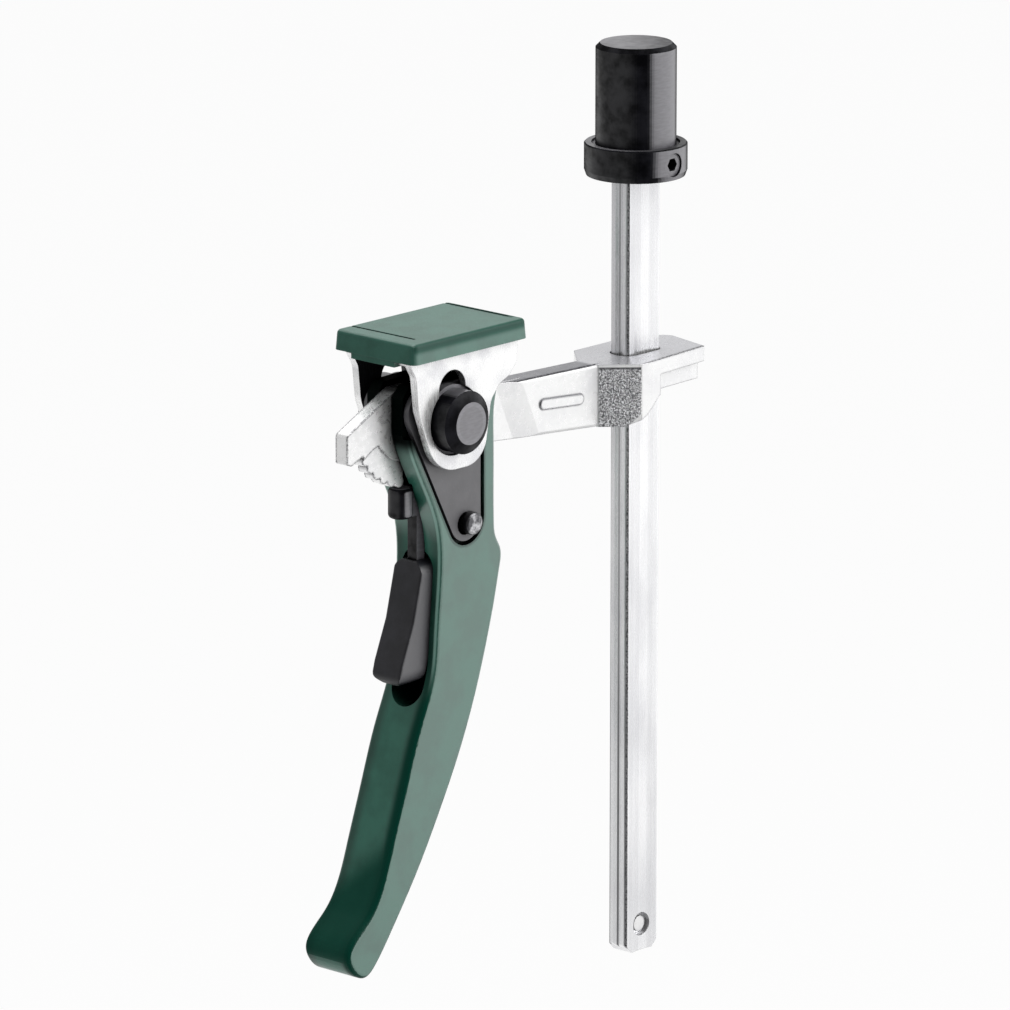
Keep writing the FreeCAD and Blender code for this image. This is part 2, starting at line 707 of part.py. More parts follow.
handle_shares = [
    (-0.2316, -0.0359), (-0.1581, -0.0769), (0.0257, -0.1502), (0.1434, -0.2073),
    (0.1838, -0.2696), (0.1654, -0.3363), (0.1324, -0.4095), (0.0882, -0.4828),
    (-0.0100, -0.5355), (-0.1120, -0.5810), (-0.2150, -0.6359), (-0.3450, -0.7114),
    (-0.4669, -0.7802), (-0.5919, -0.8462), (-0.7316, -0.8886), (-0.9050, -0.9190),
    (-1.0100, -0.9490), (-0.9560, -0.9800), (-0.7831, -0.9990), (-0.6410, -0.9790),
    (-0.4573, -0.9326), (-0.1180, -0.8366), (0.1760, -0.7385), (0.4380, -0.6396),
    (0.6550, -0.5377), (0.8260, -0.4344), (0.9310, -0.3560), (0.9760, -0.3173),
    (0.9960, -0.2940), (0.9850, -0.2800), (0.9450, -0.2647), (0.9150, -0.2500),
    (0.9050, -0.2300), (0.9020, -0.1751), (0.9020, -0.0740), (0.9157, -0.0095),
    (0.9596, 0.0183),
]
spots = []
for across, up in handle_shares:
    spots.append(V(hinge_x + size("handle_reach") * across, 0, hinge_z + size("handle_length") * up))
curve = Part.BSplineCurve()
curve.interpolate(spots)
ear_top = hinge_z + size("ear_top")
crown = [
    spots[-1],
    V(spots[-1].x - size("ear_round") * 3.6, 0, ear_top - size("ear_round") * 0.1),
    V(hinge_x - size("ear_front") + size("ear_round"), 0, ear_top - size("ear_round") * 0.3),
    V(hinge_x - size("ear_front"), 0, ear_top - size("ear_round") * 1.6),
    spots[0],
]
crown_edges = [Part.LineSegment(crown[i], crown[i + 1]).toShape() for i in range(len(crown) - 1)]
outline = Part.Wire([curve.toShape()] + crown_edges)
handle = slab(outline, -size("handle_half"), size("handle_half"))
rim_edges = [
    edge for edge in handle.Edges
    if abs(abs(edge.CenterOfMass.y) - size("handle_half")) < size("fit_gap")
    and edge.Length > size("handle_length")
]
handle = handle.makeFillet(size("handle_reach") * size("handle_edge_share"), rim_edges)

# Outline shared by the side plates and by the recesses that they lie in.
plate_points = [
    (hinge_x - size("plate_front"), hinge_z + size("plate_top")),
    (hinge_x + size("plate_back"), hinge_z + size("plate_top")),
    (hinge_x + size("plate_back"), hinge_z - size("plate_apex")),
]
plate_wire = rounded(plate_points, [size("plate_lobe"), size("plate_corner"), size("plate_foot")])
recess_face = Part.Face(plate_wire).makeOffset2D(size("plate_gap"))
ear = size("ear_half")
skin = size("handle_half") + over
for side in (-1, 1):
    low = min(side * ear, side * skin)
    high = max(side * ear, side * skin)
    pocket = Part.Face(recess_face.OuterWire)
    pocket.translate(V(0, low, 0))
    handle = handle.cut(pocket.extrude(V(0, high - low, 0)))
    ledge_back = hinge_x + size("plate_back") + size("plate_gap")
    handle = handle.cut(box(hinge_x - size("handle_reach"), ledge_back, low, high,
                            hinge_z - size("ledge_drop"), ear_top + over))

# Slot between the ears for sector, tongue and pawl.
slot = size("slot_half")
clear_r = tip_r + size("sector_clear")
front_x = hinge_x - size("handle_reach") - over
top_z = ear_top + over
well_front = hinge_x + size("spring_well_front")
well_back = hinge_x + size("spring_well_back")
well_low = hinge_z - size("spring_well_low")
handle = handle.cut(round_bar(clear_r, -slot, slot, hinge_x, hinge_z))
handle = handle.cut(box(front_x, well_front, -slot, slot, hinge_z - size("recess_top") - over, top_z))
handle = handle.cut(box(well_front - over, well_back, -slot, slot, well_low, top_z))
handle = handle.cut(box(hinge_x, hinge_x + size("handle_reach") + over, -slot, slot,
                        hinge_z - size("tongue_slot_low"), top_z))

# Recess for the trigger, both ends half rounds seen from the front.
deep = hinge_x + size("recess_floor")
wide = size("recess_half")
recess_low = hinge_z - size("recess_low") + wide
recess_high = hinge_z - size("recess_top") - wide
recess = box(front_x, deep, -wide, wide, recess_low, recess_high)
for end_z in (recess_low, recess_high):
    recess = recess.fuse(Part.makeCylinder(wide, deep - front_x, V(front_x, 0, end_z), V(1, 0, 0)))
recess_side = Part.makePolygon([
    V(front_x, 0, hinge_z - size("recess_top")),
    V(deep, 0, hinge_z - size("recess_top")),
    V(deep, 0, hinge_z - size("recess_knee")),
    V(hinge_x + size("recess_floor_low"), 0, hinge_z - size("recess_low")),
    V(front_x, 0, hinge_z - size("recess_low")),
    V(front_x, 0, hinge_z - size("recess_top"))])
recess = recess.common(slab(recess_side, -wide, wide))
handle = handle.cut(recess)
# Round seat beside the slot in which the pawl runs.
seat_r = size("pawl_radius") + size("pawl_gap")
seat_foot = V(hinge_x - size("pawl_ahead"), 0, hinge_z - size("pawl_foot") - seat_r * 0.75)
handle = handle.cut(Part.makeCylinder(seat_r, size("pawl_foot") - tip_r + seat_r, seat_foot))

# Bores for pins.
fit = size("fit_gap")
rivet_x = hinge_x + size("rivet_ahead")
rivet_z = hinge_z - size("rivet_drop")
guide_x = hinge_x + size("guide_ahead")
guide_z = hinge_z - size("guide_drop")
pivot_x = hinge_x + size("trigger_pivot_ahead")
pivot_z = hinge_z - size("trigger_pivot_drop")
handle = handle.cut(round_bar(size("fulcrum_radius") + fit, -skin, skin, hinge_x, hinge_z))
handle = handle.cut(round_bar(size("stud_spigot_radius") + fit, -skin, skin, stud_x, stud_z))
handle = handle.cut(round_bar(size("rivet_radius") + fit, -skin, skin, rivet_x, rivet_z))
handle = handle.cut(round_bar(size("guide_radius") + fit, -ear, ear, guide_x, guide_z))
pivot_half = size("trigger_pin_half")
handle = handle.cut(round_bar(size("trigger_pin_radius") + fit, -pivot_half, pivot_half, pivot_x, pivot_z))
handle = handle.removeSplitter()
lever_handle = feature("lever_handle", handle)

# Side plates.

PLATE_CORNERS = [
    (mix(hinge_reach=-1, plate_front=-1), mix(hinge_drop=-1, plate_top=1)),
    (mix(hinge_reach=-1, plate_back=1), mix(hinge_drop=-1, plate_top=1)),
    (mix(hinge_reach=-1, plate_back=1), mix(hinge_drop=-1, plate_apex=-1)),
]


def side_plate(name, side):
    """A triangular plate with three round corners, from the ear's face outwards."""
    body = doc.addObject("PartDesign::Body", name + "_body")
    shift = mix(ear_half=1) if side < 0 else mix(ear_half=-1, plate_thick=-1)
    sketch = corner_sketch(body, name + "_outline", PLATE_CORNERS, "XZ_Plane", shift)
    pad = body.newObject("PartDesign::Pad", name + "_pad")
    pad.Profile = sketch
    pad.Length = size("plate_thick")
    pad.setExpression("Length", "sizes.plate_thick")
    sketch.Visibility = False
    doc.recompute()
    tip = pad
    for corner, radius in zip(PLATE_CORNERS, ("plate_lobe", "plate_corner", "plate_foot")):
        chosen = edges_where(tip.Shape, lambda p: near(p.x, corner[0][0]) and near(p.z, corner[1][0]))
        fillet = body.newObject("PartDesign::Fillet", "%s_%s" % (name, radius))
        fillet.Base = (tip, chosen)
        fillet.Radius = size(radius)
        fillet.setExpression("Radius", "sizes." + radius)
        doc.recompute()
        tip = fillet
    low = mix(handle_half=-1, overrun=-1)
    high = mix(handle_half=1, overrun=1)
    bores = [
        rod(name + "_fulcrum_bore", mix(fulcrum_radius=1, fit_gap=1), low, high, HINGE_X, HINGE_Z),
        rod(name + "_stud_bore", mix(stud_spigot_radius=1, fit_gap=1), low, high, STUD_X, STUD_Z),
        rod(name + "_rivet_bore", mix(rivet_radius=1, fit_gap=1), low, high,
            mix(hinge_reach=-1, rivet_ahead=1), mix(hinge_drop=-1, rivet_drop=-1)),
        rod(name + "_rivet_relief", mix(rivet_radius=1, fit_gap=1), low, high,
            mix(hinge_reach=-1, rivet_ahead=1, rivet_hole_left=-1), mix(hinge_drop=-1, rivet_drop=-1)),
    ]
    return cut(name, body, *bores)


side_plate_near = side_plate("side_plate_near", -1)
side_plate_far = side_plate("side_plate_far", 1)

# Pins of the lever.

fulcrum_pin = rod("fulcrum_pin", mix(fulcrum_radius=1), mix(ear_half=-1, plate_thick=-1),
                  mix(ear_half=1, plate_thick=1), HINGE_X, HINGE_Z)


def ring(name, low, high):
    outer = rod(name + "_outer", mix(ring_radius=1), low, high, HINGE_X, HINGE_Z)
    inner = rod(name + "_inner", mix(fulcrum_radius=1, fit_gap=1), mix(slot_half=-1, overrun=-1),
                mix(slot_half=1, overrun=1), HINGE_X, HINGE_Z)
    return cut(name, outer, inner)


ring_near = ring("ring_near", mix(slot_half=-1), mix(slot_half=-1, ring_thick=1))
ring_far = ring("ring_far", mix(slot_half=1, ring_thick=-1), mix(slot_half=1))
fulcrum_washers = doc.addObject("Part::Compound", "fulcrum_washers")
fulcrum_washers.Label = "fulcrum_washers"
fulcrum_washers.Links = [ring_near, ring_far]

# Rivet with a domed end that stands proud of each plate.
rivet_end = mix(ear_half=1, plate_thick=1, rivet_proud=1)
RIVET_X = mix(hinge_reach=-1, rivet_ahead=1)
RIVET_Z = mix(hinge_drop=-1, rivet_drop=-1)
rivet_rod = rod("rivet_rod", mix(rivet_radius=1), flip(rivet_end), rivet_end, RIVET_X, RIVET_Z)
doc.recompute()
plate_rivet = doc.addObject("Part::Fillet", "plate_rivet")
plate_rivet.Label = "plate_rivet"
plate_rivet.Base = rivet_rod
plate_rivet.Edges = [
    (number, size("rivet_dome"), size("rivet_dome"))
    for number, edge in enumerate(rivet_rod.Shape.Edges, start=1)
    if len(edge.Vertexes) == 1
]

guide_pin_x = mix(hinge_reach=-1, guide_ahead=1)
guide_pin_z = mix(hinge_drop=-1, guide_drop=-1)
pawl_guide_pin = rod("pawl_guide_pin", mix(guide_radius=1), mix(ear_half=-1), mix(ear_half=1),
                     guide_pin_x, guide_pin_z)
PIVOT_X = mix(hinge_reach=-1, trigger_pivot_ahead=1)
PIVOT_Z = mix(hinge_drop=-1, trigger_pivot_drop=-1)
trigger_pin = rod("trigger_pin", mix(trigger_pin_radius=1), mix(trigger_pin_half=-1),
                  mix(trigger_pin_half=1), PIVOT_X, PIVOT_Z)


def bracket_stud(name, side):
    """Spigot in ear and plate, journal in the bracket's cheek, large chamfered head."""
    def span(low, high):
        return (low, high) if side > 0 else (flip(high), flip(low))
    plate_face = mix(ear_half=1, plate_thick=1)
    neck = mix(stud_head_start=1)
    rim = mix(stud_head_end=1, stud_chamfer=-1)
    spigot = rod(name + "_spigot", mix(stud_spigot_radius=1), *span(mix(stud_spigot_end=1), neck),
                 STUD_X, STUD_Z)
    journal = rod(name + "_journal", mix(stud_journal_radius=1), *span(plate_face, neck), STUD_X, STUD_Z)
    head = rod(name + "_head", mix(stud_head_radius=1), *span(neck, rim), STUD_X, STUD_Z)
    taper = add("Part::Cone", name + "_taper", Height=mix(stud_chamfer=1),
                Radius1=mix(stud_head_radius=1), Radius2=mix(stud_face_radius=1))
    turn = -90.0 if side > 0 else 90.0
    place(taper, STUD_X, rim if side > 0 else flip(rim), STUD_Z, V(1, 0, 0), turn)
    return join(name, spigot, journal, head, taper)


bracket_stud_near = bracket_stud("bracket_stud_near", -1)
bracket_stud_far = bracket_stud("bracket_stud_far", 1)

# Pressure bracket.

top = -size("bracket_top")
sheet_low = top - size("bracket_sheet")
skirt_low = -size("cap_top") - size("cap_skirt")
shoulder = skirt_low - size("plate_gap") * 0.5
lobe_z = stud_z - size("bracket_lobe_drop")
front_top_x = stud_x - size("bracket_front_top")
back_top_x = stud_x + size("bracket_back_top")
web_back_x = stud_x + size("bracket_web_back")
drop = shoulder - lobe_z
cheek_points = [
    (front_top_x, top),
    (web_back_x, top),
    (web_back_x, shoulder),
    (back_top_x, shoulder),
    (back_top_x - size("bracket_lobe") * 0.04, shoulder - drop * 0.29),
    (back_top_x - size("bracket_lobe") * 0.32, shoulder - drop * 0.44),
    (back_top_x - size("bracket_lobe") * 0.70, shoulder - drop * 0.51),
    (back_top_x - size("bracket_lobe") * 1.05, shoulder - drop * 0.70),
    (stud_x + size("bracket_back_mid"), lobe_z - size("bracket_lobe")),
    (stud_x - size("bracket_lobe") * 0.73, lobe_z - size("bracket_lobe")),
    (stud_x - size("bracket_lobe") * 1.41, lobe_z + drop * 0.38),
    (stud_x - size("bracket_lobe") * 1.51, lobe_z + drop * 0.82),
    (stud_x - size("bracket_front_flare"), shoulder),
    (front_top_x, shoulder),
]
small = size("bracket_sheet")
cheek_radii = [0, 0, 0, 0, small, small * 1.5, small * 2, small * 2, size("bracket_lobe") * 0.78,
               size("bracket_lobe") * 1.1, small * 4, small * 2, 0, 0]
outer = slab(rounded(cheek_points, cheek_radii), -size("bracket_half"), size("bracket_half"))
inner_half = size("bracket_half") - size("bracket_sheet")
inner = box(front_top_x - over, back_top_x + over, -inner_half, inner_half,
            lobe_z - size("bracket_lobe") - over, sheet_low)
bracket = outer.cut(inner)
bore_r = size("stud_journal_radius") + size("bracket_bore_gap")
reach = size("bracket_half") + over
bracket = bracket.cut(round_bar(bore_r, -reach, reach, stud_x, stud_z))
slot_r = size("keyhole_slot")
keyhole_top = stud_z + size("keyhole_rise")
keyhole_x = stud_x - size("keyhole_ahead")
for side in (-1, 1):
    low = min(side * (inner_half - over), side * reach)
    high = max(side * (inner_half - over), side * reach)
    bracket = bracket.cut(round_bar(slot_r, low, high, keyhole_x, keyhole_top))
    bracket = bracket.cut(box(keyhole_x - slot_r, keyhole_x + slot_r, low, high, stud_z, keyhole_top))
bend = [
    edge for edge in bracket.Edges
    if abs(edge.CenterOfMass.z - top) < fit
    and abs(abs(edge.CenterOfMass.y) - size("bracket_half")) < fit
]
bracket = bracket.makeFillet(size("bracket_sheet") * 0.5, bend)
pressure_bracket = feature("pressure_bracket", bracket)

# Pad cap.

cap = doc.addObject("PartDesign::Body", "cap_body")
CAP_FRONT = mix(hinge_reach=-1, axis_ahead=1, cap_front=-1)
CAP_BACK = mix(hinge_reach=-1, axis_ahead=1, cap_back=1)
cap_sketch = corner_sketch(cap, "cap_outline", [
    (CAP_FRONT, mix(cap_half=-1)),
    (CAP_BACK, mix(cap_half=-1)),
    (CAP_BACK, mix(cap_half=1)),
    (CAP_FRONT, mix(cap_half=1)),
], "XY_Plane", mix(cap_top=-1, cap_skirt=-1))
cap_pad = cap.newObject("PartDesign::Pad", "cap_pad")
cap_pad.Profile = cap_sketch
cap_pad.Length = size("cap_skirt")
cap_pad.setExpression("Length", "sizes.cap_skirt")
# The four sides spread downwards.
cap_pad.TaperAngle = -math.degrees(math.atan(size("cap_flare") / size("cap_skirt")))
cap_pad.setExpression("TaperAngle", "-atan(sizes.cap_flare / sizes.cap_skirt)")
cap_sketch.Visibility = False
doc.recompute()
cap_low = -size("cap_top") - size("cap_skirt")
cap_uprights = []
for number, edge in enumerate(cap_pad.Shape.Edges, start=1):
    heights = [vertex.Z for vertex in edge.Vertexes]
    if near(min(heights), cap_low) and near(max(heights), -size("cap_top")):
        cap_uprights.append("Edge%d" % number)
cap_corners = cap.newObject("PartDesign::Fillet", "cap_corners")
cap_corners.Base = (cap_pad, cap_uprights)
cap_corners.Radius = size("cap_corner")
cap_corners.setExpression("Radius", "sizes.cap_corner")
doc.recompute()
cap_rim = [n for n in edges_where(cap_corners.Shape, lambda p: near(p.z, -size("cap_top")))]
cap_edge = cap.newObject("PartDesign::Fillet", "cap_edge")
cap_edge.Base = (cap_corners, cap_rim)
cap_edge.Radius = size("cap_edge")
cap_edge.setExpression("Radius", "sizes.cap_edge")
doc.recompute()
WALL_LOW = mix(cap_top=-1, cap_skirt=-1, overrun=-1)
cap_hollow = block("cap_hollow",
                   mix(hinge_reach=-1, axis_ahead=1, bracket_front_top=-1, cap_fit=-1),
                   mix(hinge_reach=-1, axis_ahead=1, bracket_web_back=1, cap_fit=1),
                   mix(bracket_half=-1, cap_fit=-1), mix(bracket_half=1, cap_fit=1),
                   WALL_LOW, mix(bracket_top=-1, fit_gap=1))
GROOVE_LOW = mix(cap_top=-1, cap_groove_deep=-1)
GROOVE_HIGH = mix(cap_top=-1, overrun=1)
groove_front = block("groove_front",
                     mix(hinge_reach=-1, axis_ahead=1, cap_front=-1, cap_groove_front=1),
                     mix(hinge_reach=-1, axis_ahead=1, cap_front=-1, cap_groove_front=1, cap_groove_wide=1),
                     mix(cap_groove_stop=-1), mix(cap_half=1, overrun=1), GROOVE_LOW, GROOVE_HIGH)
groove_back = block("groove_back",
                    mix(hinge_reach=-1, axis_ahead=1, cap_back=1, cap_groove_back=-1, cap_groove_wide=-1),
                    mix(hinge_reach=-1, axis_ahead=1, cap_back=1, cap_groove_back=-1),
                    mix(cap_groove_stop=-1), mix(cap_half=1, overrun=1), GROOVE_LOW, GROOVE_HIGH)
cap_cut = cut("cap_cut", cap, cap_hollow, groove_front, groove_back)
cap_lip = block("cap_lip",
                mix(hinge_reach=-1, axis_ahead=1, cap_front=-1, cap_flare=0.6),
                mix(hinge_reach=-1, axis_ahead=1, bracket_front_top=-1, cap_fit=-1),
                mix(cap_lip_near=-1), mix(cap_lip_far=1),
                mix(cap_top=-1, cap_lip_low=-1), mix(cap_top=-1, cap_skirt=-0.5))
pad_cap = join("pad_cap", cap_cut, cap_lip)

# Pawl.

pawl_x = hinge_x - size("pawl_ahead")
pawl_top = hinge_z - tip_r - size("pawl_gap")
pawl_low = hinge_z - size("pawl_foot")
plunger = Part.makeCylinder(size("pawl_radius"), pawl_top - pawl_low, V(pawl_x, 0, pawl_low))
plunger_rims = [edge for edge in plunger.Edges if len(edge.Vertexes) == 1]
plunger = plunger.makeFillet(size("pawl_round"), plunger_rims)
blade_half = size("blade_half")
stem_front = hinge_x + size("blade_stem_front")
stem_back = hinge_x + size("blade_stem_back")
hook_low = hinge_z - size("blade_hook_low")
blade_foot = hinge_z - size("blade_foot")
blade_points = [
    (pawl_x, hinge_z - size("blade_top")),
    (hinge_x + size("blade_back"), hinge_z - size("blade_top")),
    (hinge_x + size("blade_back"), hook_low),
    (stem_back, hook_low),
    (stem_back, blade_foot),
    (stem_front, blade_foot),
    (stem_front, pawl_low),
    (pawl_x, pawl_low),
]
small_r = size("guide_radius") * 0.5
blade_wire = rounded(blade_points, [0, small_r, small_r, small_r, small_r, small_r, 0, 0])
blade = slab(blade_wire, -blade_half, blade_half)
pawl = plunger.fuse(blade)
guide_clear = size("guide_radius") + size("guide_gap")
guide_high = guide_z + size("pawl_travel") + size("guide_gap")
pawl = pawl.cut(round_bar(guide_clear, -slot, slot, guide_x, guide_z))
pawl = pawl.cut(round_bar(guide_clear, -slot, slot, guide_x, guide_high))
pawl = pawl.cut(box(guide_x - guide_clear, guide_x + guide_clear, -slot, slot, guide_z, guide_high))
link_x = hinge_x + size("link_ahead")
link_z = hinge_z - size("link_drop")
pawl = pawl.cut(round_bar(size("link_radius") + fit, -slot, slot, link_x, link_z))
pawl_plunger = feature("pawl_plunger", pawl.removeSplitter())
pawl_link_pin = rod("pawl_link_pin", mix(link_radius=1), mix(link_half=-1), mix(link_half=1),
                    mix(hinge_reach=-1, link_ahead=1), mix(hinge_drop=-1, link_drop=-1))

# Coil spring between the slot's floor and the blade's hook: biarcs of a quarter turn.
coil_x = hinge_x + size("coil_ahead")
wire_r = size("coil_wire")
coil_low = well_low + wire_r + size("coil_seat_gap")
coil_high = hook_low - wire_r - size("coil_seat_gap")
coil_r = size("coil_radius")
turns = size("coil_turns")
quarters = int(round(turns * 4))


def coil_spot(part):
    turn = 2 * math.pi * turns * part
    rise = (coil_high - coil_low) * part
    return V(coil_x + coil_r * math.cos(turn), coil_r * math.sin(turn), coil_low + rise)


coil_edges = []
for step in range(quarters):
    start = coil_spot(step / quarters)
    middle = coil_spot((step + 0.5) / quarters)
    stop = coil_spot((step + 1) / quarters)
    coil_edges.append(Part.Arc(start, middle, stop).toShape())
coil_path = Part.Wire(coil_edges)
coil_way = coil_edges[0].tangentAt(coil_edges[0].FirstParameter)
coil_ring = Part.Wire([Part.Circle(coil_spot(0), coil_way, wire_r).toShape()])
coil = Part.BRepOffsetAPI.MakePipeShell(coil_path)
coil.add(coil_ring)
coil.build()
coil.makeSolid()
coil_solid = coil.shape()
samples = [coil_spot(index / (quarters * 8)) for index in range(quarters * 8 + 1)]
apart = int(8 * 2)
gap_to_self = min(
    (samples[i] - samples[j]).Length
    for i in range(len(samples)) for j in range(i + apart, len(samples))
) - 2 * wire_r
print("coil: least gap to itself %.3f mm" % gap_to_self)
pawl_spring = feature("pawl_spring", coil_solid)

# Trigger.

reach_x = size("trigger_reach")
long_z = size("trigger_length")
# Side outline in shares of reach and length, measured from the pivot.
trigger_shares = [
    (0.11, 0.03), (-0.04, 0.095), (-0.52, 0.125), (-0.565, 0.0), (-0.72, -0.36), (-0.945, -0.68),
    (-1.0, -0.80), (-0.87, -0.868), (-0.50, -0.84), (-0.37, -0.62), (-0.20, -0.36),
    (0.0, -0.15), (0.11, -0.06),
]
trigger_points = [(pivot_x + reach_x * across, pivot_z + long_z * up) for across, up in trigger_shares]
edge_r = size("trigger_edge")
trigger_radii = [edge_r, edge_r, edge_r * 2, edge_r * 4, edge_r * 6, edge_r * 4, edge_r * 3, edge_r * 2,
                 edge_r * 2, edge_r * 4, edge_r * 4, edge_r * 3, edge_r]
trigger_half = size("trigger_half")
trigger_solid = slab(rounded(trigger_points, trigger_radii), -trigger_half, trigger_half)
trigger_solid = trigger_solid.makeFillet(edge_r, [
    edge for edge in trigger_solid.Edges
    if abs(abs(edge.CenterOfMass.y) - trigger_half) < fit
])
# Seen from the front both ends are rounded nearly to half rounds.
box_low = trigger_solid.BoundBox.ZMin
box_high = trigger_solid.BoundBox.ZMax
end_form = box(pivot_x - reach_x - over, pivot_x + reach_x, -trigger_half, trigger_half, box_low, box_high)
end_form = end_form.makeFillet(size("trigger_end_round"), [
    edge for edge in end_form.Edges
    if abs(edge.tangentAt(edge.FirstParameter).x) > 0.99
])
trigger_solid = trigger_solid.common(end_form)
fork_half = size("trigger_fork_half")
fork_front = hinge_x + size("trigger_fork_front")
fork_back = hinge_x + size("trigger_fork_back")
trigger_solid = trigger_solid.cut(box(fork_front, fork_back, -fork_half, fork_half,
                                      hinge_z - size("trigger_fork_deep"), pivot_z + long_z))
link_reach = size("link_half") + size("link_gap")
link_seat = size("link_radius") + size("link_gap")
trigger_solid = trigger_solid.cut(round_bar(link_seat, -link_reach, link_reach, link_x, link_z))
pivot_bore = size("trigger_pin_radius") + size("trigger_pin_gap")
trigger_solid = trigger_solid.cut(round_bar(pivot_bore, -skin, skin, pivot_x, pivot_z))
trigger = feature("trigger", trigger_solid)

# Check and write.

doc.recompute()
NODES = [
    clamp_bar, bench_peg, grub_screw, stop_pin,
    sliding_arm, fulcrum_bush,
    lever_handle, side_plate_near, side_plate_far, fulcrum_pin, fulcrum_washers, plate_rivet,
    pawl_guide_pin, trigger_pin, bracket_stud_near, bracket_stud_far,
    pressure_bracket, pad_cap,
    pawl_plunger, pawl_link_pin, pawl_spring,
    trigger,
]
for item in doc.Objects:
    bad = [word for word in item.State if word in ("Invalid", "Error")]
    if bad:
        raise RuntimeError("%s: %s" % (item.Label, ", ".join(bad)))
os.makedirs("parts", exist_ok=True)
for item in NODES:
    if item.Shape.isNull() or not item.Shape.isValid() or item.Shape.Volume <= 0:
        raise RuntimeError("%s has no sound shape" % item.Label)
    box_now = item.Shape.BoundBox
    print("%-20s solids %d volume %9.1f  x %.2f %.2f  y %.2f %.2f  z %.2f %.2f" % (
        item.Label, len(item.Shape.Solids), item.Shape.Volume, box_now.XMin, box_now.XMax,
        box_now.YMin, box_now.YMax, box_now.ZMin, box_now.ZMax))
for item in NODES:
    item.Shape.exportStep("parts/%s.step" % item.Label)
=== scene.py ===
import math

import bpy
from mathutils import Matrix, Vector

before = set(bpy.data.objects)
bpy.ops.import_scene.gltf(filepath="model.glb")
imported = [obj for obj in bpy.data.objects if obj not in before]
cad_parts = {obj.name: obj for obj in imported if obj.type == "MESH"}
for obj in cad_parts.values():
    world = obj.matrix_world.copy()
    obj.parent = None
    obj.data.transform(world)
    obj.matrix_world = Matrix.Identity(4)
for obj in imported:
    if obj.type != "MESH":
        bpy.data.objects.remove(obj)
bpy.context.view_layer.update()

mm = 0.001
scene = bpy.context.scene
print("frame loaded:", len(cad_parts), "nodes")


# camera

cameraSetup = {
    "place": (-1522.6, -1351.8, 434.55),      # mm from the flange's seat
    "back": (-0.7138, -0.6541, 0.2504),       # from the clamp towards the lens
    "right": (0.6756, -0.7373, 0.0),
    "lens": 302.97,
    "sensor": 36.0,
    "farthest": 50.0,                         # metres
}


def makeCamera():
    back = Vector(cameraSetup["back"]).normalized()
    right = Vector(cameraSetup["right"]).normalized()
    up = back.cross(right)
    data = bpy.data.cameras.new("benchCamera")
    data.sensor_fit = "HORIZONTAL"
    data.sensor_width = cameraSetup["sensor"]
    data.lens = cameraSetup["lens"]
    data.clip_end = cameraSetup["farthest"]
    camera = bpy.data.objects.new("benchCamera", data)
    turn = Matrix((right, up, back)).transposed().to_4x4()
    camera.matrix_world = Matrix.Translation(Vector(cameraSetup["place"]) * mm) @ turn
    scene.collection.objects.link(camera)
    scene.camera = camera


makeCamera()
print("camera placed")


# materials: sizes and places in mm, places in the frame of the clamp
# "Angle" is the range of a normal's part, "Range" that of a pattern, and four values in a row
# are such a range and what it turns into

shading = {
    "cornerRays": 8,                          # of one look at nearby walls
    "bevelRays": 6,                           # of one softened edge
    "creviceOpen": 0.9,                       # openness from which a corner has no shade
    "hollowTone": 0.02,                       # tone of the deepest painted hollow shade
}

socketNames = {
    "specular": "Specular IOR Level",
    "coat": "Coat Weight",
    "coatRough": "Coat Roughness",
    "metal": "Metallic",
}


